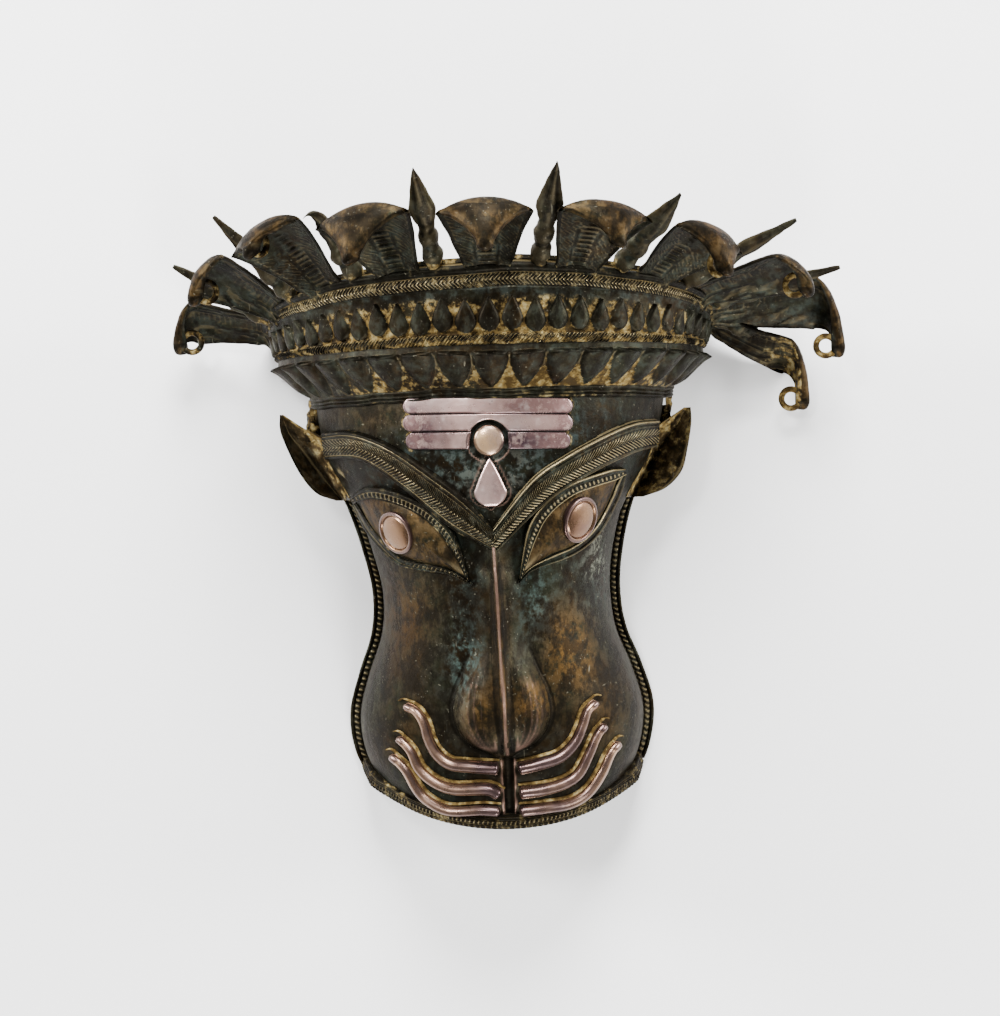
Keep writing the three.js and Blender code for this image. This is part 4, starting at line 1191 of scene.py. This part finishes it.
def spike_rings(azimuth, reach, up):
    foot, d_out, d_up, d_side = rim_frame(azimuth)
    length = math.hypot(reach, up)
    lean = np.array([reach, up]) / length
    stations = [
        (-0.06, 3.4, 3.4), (0.03, 4.6, 4.4), (0.1, 6.0, 5.4), (0.17, 5.2, 4.8), (0.21, 4.6, 4.2),
        (0.27, 5.6, 5.0), (0.33, 5.9, 5.2), (0.38, 4.7, 4.2), (0.42, 4.9, 3.6),
    ]
    if azimuth == BROKEN_SPIKE:
        stations += [(0.47, 1.6, 1.6)]
    else:
        stations += [(0.5, 6.6, 3.0), (0.585, 8.2, 3.0), (0.68, 6.9, 2.7), (0.85, 3.7, 2),
                     (0.97, 1.1, 0.9), (1, 0.3, 0.3)]
    line = smooth_line(stations, 84)
    slim = 0.42 if abs(azimuth) > SLIM_SPIKES or azimuth == HOOKED_SPIKE else 0.05
    line[:, 1] *= 1 - slim * unit((line[:, 0] - 0.42) / 0.08)
    angle = np.linspace(0, 2 * math.pi, 22, endpoint=False)[None]
    part, half, thick = (line[:, k][:, None] for k in range(3))
    leaf = unit((part - 0.42) / 0.1)
    pinch = 1 - leaf * 0.35 * (1 - np.abs(np.cos(angle)))
    side = half * np.cos(angle)
    ridge = 0.9 * leaf * (np.abs(np.sin(angle)) > 0.95) * np.sign(np.sin(angle))
    over = thick * np.sin(angle) * pinch + ridge
    curl = unit((part - 0.68) / 0.32) * (azimuth == HOOKED_SPIKE)
    out = part * reach - lean[1] * over + 4 * curl
    rise = part * up + lean[0] * over - 15 * curl ** 2 + 4 * np.sqrt(curl)
    facing = np.cross(lean[0] * d_out + lean[1] * d_up, np.array([0, 0, 1]))
    d_side = normalised(d_side + normalised(facing) * np.sign(facing @ d_side))
    rings = foot + out[..., None] * d_out + rise[..., None] * d_up + side[..., None] * d_side
    lumps = ripple(rings, 7, int(azimuth * 3) % 89) * (1 - leaf) * 0.55 + 0.25 * ripple(rings, 9, 5)
    rings = rings + grid_normals(rings) * (lumps * np.clip((1 - part) / 0.1, 0.2, 1))[..., None]
    return rings, unit(1 - part / 0.14), leaf


class MASK_OT_spikes(bpy.types.Operator):
    """Spearheads on knobbed stems between the hoods, one of them broken off"""
    bl_idname = "mask.spikes"
    bl_label = "Spearheads"

    def execute(self, context):
        for azimuth, reach, up in SPIKES:
            rings, feet, leaf = spike_rings(azimuth, reach, up)
            skin(f"spearhead_{'left' if azimuth < 0 else 'right'}_{abs(round(azimuth))}", rings,
                 bronze("spear_bronze", residue=0.8, edges=0.1, metal_part=0.45),
                 dirt=1.4 * feet + 0.2 * (1 - leaf), warm=0.15 * leaf, teal=0.05, blue=0.3)
        return {"FINISHED"}


class MASK_OT_ears(bpy.types.Operator):
    """Leaf-shaped ears at the temples"""
    bl_idname = "mask.ears"
    bl_label = "Ears"

    def execute(self, context):
        for side, (outer, fold, inner) in EARS.items():
            n = 60
            edges = [smooth_line(line, n) for line in (outer, fold, inner)]
            part = np.linspace(0, 1, 33)[None, :, None]
            a, b, c = (e[:, None] for e in edges)
            first = unit(part * 2)
            second = unit(part * 2 - 1)
            top = a + (b - a) * first + (c - b) * second
            rim = bump(part[..., 0], 0.03, 0.05) + bump(part[..., 0], 0.97, 0.05)
            top = top + np.array([0, 0, 1]) * (0.9 * rim + 0.4 * ripple(top, 15, 31))[..., None]
            under = top[:, ::-4] - np.array([0, 0, WALL])
            rings = np.concatenate([top, under], 1)
            away = -1 if side == "left" else 1
            outside = reach_to_side(rings[..., 1], rings[..., 2], away) - 2
            rings[..., 0] = away * np.maximum(away * rings[..., 0], outside)
            joint = with_back(unit((part[..., 0] - 0.6) / 0.35), rings)
            skin("ear_" + side, rings, bronze("ear_bronze", residue=1.0, edges=0.8, metal_part=0.1),
                 dirt=1.3 * joint + (0.7 if side == "right" else 0.2), warm=0.9, teal=0.4, blue=0.5)
        return {"FINISHED"}


class MASK_OT_temples(bpy.types.Operator):
    """Rough crust of the casting at the temples, between the ears and the crown"""
    bl_idname = "mask.temples"
    bl_label = "Temple crust"

    def execute(self, context):
        for name, (side, x) in TEMPLES.items():
            path = smooth_line([(x, 44, 36), (x * 1.01, 56, 33), (x, 70, 30)], 90)
            rings = tube_rings(path, 4.4, 30)
            lumps = 1.5 * ripple(rings, 9, 41) + 0.9 * ripple(rings, 4, 42)
            rings = rings + grid_normals(rings) * lumps[..., None]
            y = rings[..., 1]
            wall = between(HALF_WIDTHS, y) + side * between(CENTRES, y) - 1.5
            rings[..., 0] = side * np.maximum(side * rings[..., 0], np.where(y > 60, HOLLOW_SIDE, wall))
            skin("temple_crust_" + name, rings, bronze("edge_bronze", residue=0.7, edges=0.8),
                 dirt=1.3, warm=0.5, teal=0.1)
        return {"FINISHED"}


# Materials

class Nodes:
    """Short ways to add and wire the nodes of one material or group."""

    def __init__(self, tree):
        self.tree = tree

    def add(self, kind, **values):
        node = self.tree.nodes.new(kind)
        for key, value in values.items():
            setattr(node, key, value)
        return node

    def wire(self, source, target):
        self.tree.links.new(source, target)

    def fill(self, socket, value):
        if isinstance(value, bpy.types.NodeSocket):
            self.wire(value, socket)
        else:
            socket.default_value = (*value, 1) if socket.type == "RGBA" else value

    def mix(self, factor, first, second):
        """Colour mix of sockets or plain colours."""
        node = self.add("ShaderNodeMix", data_type="RGBA")
        self.wire(factor, node.inputs["Factor"])
        for socket, value in zip([s for s in node.inputs if s.type == "RGBA"], (first, second)):
            self.fill(socket, value)
        return [s for s in node.outputs if s.type == "RGBA"][0]

    def maths(self, operation, first, second, clamp=False):
        node = self.add("ShaderNodeMath", operation=operation, use_clamp=clamp)
        self.fill(node.inputs[0], first)
        self.fill(node.inputs[1], second)
        return node.outputs[0]

    def times(self, first, second, clamp=False):
        return self.maths("MULTIPLY", first, second, clamp)

    def plus(self, first, second):
        return self.maths("ADD", first, second)

    def ramp(self, value, low, high):
        """0 at low and 1 at high, smooth between."""
        node = self.add("ShaderNodeMapRange", interpolation_type="SMOOTHSTEP")
        self.wire(value, node.inputs["Value"])
        setting(node, "From Min", low)
        setting(node, "From Max", high)
        return node.outputs["Result"]

    def noise(self, place, scale, detail, roughness, stretch=None):
        if stretch:
            mapping = self.add("ShaderNodeMapping")
            setting(mapping, "Scale", stretch)
            self.wire(place, mapping.inputs["Vector"])
            place = mapping.outputs["Vector"]
        node = self.add("ShaderNodeTexNoise")
        self.wire(place, node.inputs["Vector"])
        setting(node, "Scale", scale)
        setting(node, "Detail", detail)
        setting(node, "Roughness", roughness)
        return node.outputs["Fac"]

    def object_place(self):
        return self.add("ShaderNodeTexCoord").outputs["Object"]

    def stain(self, name):
        return self.add("ShaderNodeAttribute", attribute_name=name, attribute_type="GEOMETRY").outputs["Fac"]

    def bumps(self, shader, height, strength, distance):
        node = self.add("ShaderNodeBump")
        setting(node, "Strength", strength)
        setting(node, "Distance", distance)
        self.wire(height, node.inputs["Height"])
        self.wire(node.outputs["Normal"], shader.inputs["Normal"])


def setting(node, name, value):
    node.inputs[name].default_value = value


def new_group(name, ins, outs):
    tree = bpy.data.node_groups.new(name, "ShaderNodeTree")
    for socket in ins:
        tree.interface.new_socket(socket, in_out="INPUT", socket_type="NodeSocketFloat")
    for socket in outs:
        tree.interface.new_socket(socket, in_out="OUTPUT", socket_type="NodeSocketFloat")
    return Nodes(tree), tree.nodes.new("NodeGroupInput").outputs, tree.nodes.new("NodeGroupOutput").inputs


def surface_marks():
    """Group with the cloudiness, pits, specks and scratches of old metal."""
    if "surface marks" in bpy.data.node_groups:
        return bpy.data.node_groups["surface marks"]
    n, _, out = new_group("surface marks", [],
                          ["Clouds", "Fine clouds", "Mottle", "Specks", "Scratches", "Height"])
    place = n.object_place()
    fine = n.noise(place, 160, 5, 0.65)
    n.wire(n.noise(place, 28, 4, 0.6), out["Clouds"])
    n.wire(fine, out["Fine clouds"])
    n.wire(n.noise(place, 75, 6, 0.75, stretch=(1.5, 0.7, 1)), out["Mottle"])
    thick = n.ramp(n.noise(place, 70, 2, 0.5), 0.42, 0.6)
    n.wire(n.times(n.ramp(n.noise(place, 560, 2, 0.5), 0.66, 0.73), thick), out["Specks"])
    one = n.noise(place, 60, 2, 0.4, stretch=(11, 1.1, 1))
    two = n.noise(place, 80, 2, 0.4, stretch=(4, -6, 1))
    here = n.ramp(n.noise(place, 45, 2, 0.5), 0.54, 0.62)
    n.wire(n.times(n.ramp(n.maths("MAXIMUM", one, two), 0.72, 0.75), here), out["Scratches"])
    pits = n.noise(place, 420, 5, 0.7)
    n.wire(n.plus(n.times(pits, 0.6), n.times(fine, 0.9)), out["Height"])
    return n.tree


def relief_masks():
    """Group that turns the relief attributes into residue and painted shade in hollows, and into polish with
    a painted highlight on crests.
    """
    if "relief masks" in bpy.data.node_groups:
        return bpy.data.node_groups["relief masks"]
    n, given, out = new_group("relief masks", ["Dirt", "Loose", "Clouds", "Fine clouds"],
                              ["Residue", "Bright", "Painted shade"])
    fine, broad = n.stain("fine"), n.stain("broad")
    hollow = n.plus(n.ramp(fine, 0.05, 0.7), n.ramp(broad, 0.1, 0.8))
    wide = n.ramp(given["Clouds"], 0.4, 0.62)
    loose = n.times(hollow, n.plus(n.times(wide, 0.6), 0.15))
    total = n.plus(n.times(loose, given["Loose"]), given["Dirt"])
    patchy = n.plus(n.times(n.ramp(given["Fine clouds"], 0.42, 0.66), 0.9), 0.25)
    n.wire(n.ramp(n.times(total, patchy), 0.25, 0.95), out["Residue"])
    # Polish with a painted highlight: lighter colour along the crests
    crest = n.plus(n.times(fine, -1), n.times(broad, -0.4))
    n.wire(n.ramp(crest, 0.4, 1.5), out["Bright"])
    # Painted shade: the deeper the hollow, the darker
    n.wire(n.ramp(hollow, 0.2, 1.2), out["Painted shade"])
    return n.tree


def new_metal(name):
    """Material with both groups placed: its nodes, shader, surface marks and relief masks."""
    material = bpy.data.materials.new(name)
    material.use_nodes = True
    n = Nodes(material.node_tree)
    marks = n.add("ShaderNodeGroup", node_tree=surface_marks())
    relief = n.add("ShaderNodeGroup", node_tree=relief_masks())
    for key in ("Clouds", "Fine clouds"):
        n.wire(marks.outputs[key], relief.inputs[key])
    return material, n, n.tree.nodes["Principled BSDF"], marks.outputs, relief


def bronze(name, residue=0.6, edges=1.0, metal_part=0.6, polished_and_highlighted=None):
    """Old bronze: dark and green-black fields, brown where it is rubbed, ochre and painted shade in the
    hollows, and polish with a painted highlight on the crests.
    """
    if name in bpy.data.materials:
        return bpy.data.materials[name]
    c = colours()
    material, n, shader, marks, relief = new_metal(name)
    fine, scuff = marks["Fine clouds"], n.stain("scuff")
    n.wire(n.times(n.stain("dirt"), residue), relief.inputs["Dirt"])
    setting(relief, "Loose", 0.27 * residue)

    rubbed = n.times(n.stain("warm"), n.ramp(fine, 0.3, 0.6), clamp=True)
    crust = n.times(n.stain("teal"), n.ramp(fine, 0.4, 0.64), clamp=True)
    # Polish and painted highlight on the crests, scaled by edges
    bright = n.times(relief.outputs["Bright"], 0.75 * edges, clamp=True)
    ochre = n.mix(n.ramp(fine, 0.42, 0.6), DARK_OCHRE, c.ochre)
    ochre = n.mix(n.ramp(marks["Height"], 0.76, 0.98), ochre, PALE_OCHRE)
    colour = n.mix(n.ramp(marks["Clouds"], 0.4, 0.6), c.dark, c.green)
    for factor, layer in (
        # Blue bloom, laid on the forehead as a painted sheen too
        (n.times(n.stain("blue"), n.ramp(fine, 0.4, 0.65)), c.blue),
        (rubbed, c.warm),
        (crust, c.verdigris),
        (n.times(n.ramp(marks["Mottle"], 0.57, 0.42), 0.8), BLACK_MOTTLE),
        # Painted shade: near-black in the hollows
        (n.times(relief.outputs["Painted shade"], 0.75), PAINTED_SHADE),
        # Polish and painted highlight on the crests
        (bright, polished_and_highlighted or c.bright),
        (n.times(n.plus(marks["Specks"], marks["Scratches"]), 0.33), PALE_SPECK),
        (relief.outputs["Residue"], ochre),
        (n.times(scuff, n.ramp(fine, 0.5, 0.6), clamp=True), SCUFFED),
    ):
        colour = n.mix(factor, colour, layer)
    n.wire(colour, shader.inputs["Base Color"])

    lost = n.maths("MAXIMUM", relief.outputs["Residue"], n.times(scuff, n.ramp(fine, 0.45, 0.55)))
    rough = n.plus(n.plus(n.times(fine, 0.35), 0.26), n.plus(n.times(lost, 0.45), n.times(crust, 0.3)))
    n.wire(n.maths("SUBTRACT", rough, n.times(bright, 0.12), clamp=True), shader.inputs["Roughness"])
    bare = n.maths("SUBTRACT", metal_part, n.times(n.plus(lost, crust), 0.85), clamp=True)
    n.wire(bare, shader.inputs["Metallic"])
    setting(shader, "Specular IOR Level", 0.12)
    setting(shader, "Specular Tint", (0.4, 0.36, 0.3, 1))
    n.bumps(shader, marks["Height"], 0.5, 0.0006)
    return material


def copper(name, pink=0.5, gold=0.0, tarnish=0.0):
    """Worn copper: mauve-pink, with purple tarnish in clouds, paler rubbed places and painted shade in its
    hollows.
    """
    if name in bpy.data.materials:
        return bpy.data.materials[name]
    c = colours()
    material, n, shader, marks, relief = new_metal(name)
    fine = marks["Fine clouds"]
    brown = (0.2 - 0.07 * tarnish, 0.13 - 0.055 * tarnish, 0.11 - 0.05 * tarnish)
    warm = (0.68 + 0.1 * gold - 0.4 * tarnish, 0.4 + 0.1 * gold - 0.25 * tarnish,
            0.34 - 0.05 * gold - 0.2 * tarnish)
    cloud = n.noise(n.object_place(), 46, 3, 0.55, stretch=(1, 0.6, 1))
    colour = n.mix(n.ramp(cloud, 0.5, 0.78), c.copper, c.copper_dark)
    colour = n.mix(n.times(n.stain("blue"), n.ramp(fine, 0.3, 0.6)), colour, c.copper_dark)
    if tarnish > 0:
        colour = n.mix(n.ramp(marks["Clouds"], -0.6, 0.3), colour, brown)
    for factor, layer in (
        (n.times(n.ramp(marks["Clouds"], 0.35, 0.6), max(pink, gold) * 0.8), warm),
        (n.times(n.ramp(fine, 0.5, 0.72), 0.35 * (1 - tarnish)), PALE_COPPER),
        # Painted shade in the hollows
        (n.times(relief.outputs["Painted shade"], 0.7), COPPER_PAINTED_SHADE),
        (n.times(marks["Specks"], 0.5), COPPER_SPECK),
    ):
        colour = n.mix(factor, colour, layer)
    n.wire(colour, shader.inputs["Base Color"])
    n.wire(n.plus(n.times(fine, 0.32), 0.14), shader.inputs["Roughness"])
    setting(shader, "Metallic", 0.9)
    n.bumps(shader, marks["Height"], 0.25, 0.0004)
    return material


# Stage

class MASK_OT_stage(bpy.types.Operator):
    """Pale floor, soft lights and the camera over the face"""
    bl_idname = "mask.stage"
    bl_label = "Stage"

    def execute(self, context):
        self.floor()
        self.lights(context.scene)
        self.camera(context.scene)
        return {"FINISHED"}

    def floor(self):
        bpy.ops.object.select_all(action="DESELECT")
        bpy.ops.mesh.primitive_plane_add(size=FLOOR["size"], location=(0, 0, FLOOR["z"]))
        floor = bpy.context.object
        floor.name = "floor"
        material = bpy.data.materials.new("pale_floor")
        material.use_nodes = True
        shader = material.node_tree.nodes["Principled BSDF"]
        setting(shader, "Base Color", (*[FLOOR["grey"]] * 3, 1))
        setting(shader, "Roughness", 0.9)
        floor.data.materials.append(material)

    def lights(self, scene):
        for name, (place, size, power) in SOFTBOXES.items():
            data = bpy.data.lights.new(name, "AREA")
            data.shape = "DISK"
            data.size = size
            data.energy = power
            light = bpy.data.objects.new(name, data)
            scene.collection.objects.link(light)
            light.location = place
            light.rotation_euler = (-light.location).to_track_quat("-Z", "Y").to_euler()
        world = bpy.data.worlds.new("studio")
        world.use_nodes = True
        background = world.node_tree.nodes["Background"]
        setting(background, "Color", (1, 0.98, 0.95, 1))
        setting(background, "Strength", 0.4)
        scene.world = world

    def camera(self, scene):
        data = bpy.data.cameras.new("camera")
        data.sensor_width = 36
        data.lens = CAMERA["lens"]
        data.clip_end = 50
        camera = bpy.data.objects.new("camera", data)
        scene.collection.objects.link(camera)
        camera.location = (CAMERA["right"] * MM + SHIFT[0], SHIFT[1], CAMERA["height"] * MM)
        camera.rotation_euler = (0, 0, math.radians(CAMERA["turn"]))
        scene.camera = camera


class MASK_PT_panel(bpy.types.Panel):
    bl_idname = "MASK_PT_panel"
    bl_label = "Bronze ritual mask"
    bl_space_type = "VIEW_3D"
    bl_region_type = "UI"
    bl_category = "Mask"

    def draw(self, context):
        for operator in OPERATORS:
            self.layout.operator(operator.bl_idname)
        for group_of_values in (context.scene.mask_sizes, context.scene.mask_colours):
            for name in group_of_values.bl_rna.properties.keys():
                if name not in ("rna_type", "name"):
                    self.layout.prop(group_of_values, name)


OPERATORS = (MASK_OT_face, MASK_OT_brows, MASK_OT_eyes, MASK_OT_marks, MASK_OT_whiskers, MASK_OT_edges,
             MASK_OT_crown, MASK_OT_hoods, MASK_OT_spikes, MASK_OT_ears, MASK_OT_temples, MASK_OT_stage)
CLASSES = (MaskSizes, MaskColours, *OPERATORS, MASK_PT_panel)


def register():
    for one in CLASSES:
        bpy.utils.register_class(one)
    bpy.types.Scene.mask_sizes = bpy.props.PointerProperty(type=MaskSizes)
    bpy.types.Scene.mask_colours = bpy.props.PointerProperty(type=MaskColours)


def unregister():
    del bpy.types.Scene.mask_colours
    del bpy.types.Scene.mask_sizes
    for one in reversed(CLASSES):
        bpy.utils.unregister_class(one)


def main():
    register()
    for operator in OPERATORS:
        family, name = operator.bl_idname.split(".")
        getattr(getattr(bpy.ops, family), name)()


if __name__ == "__main__":
    main()
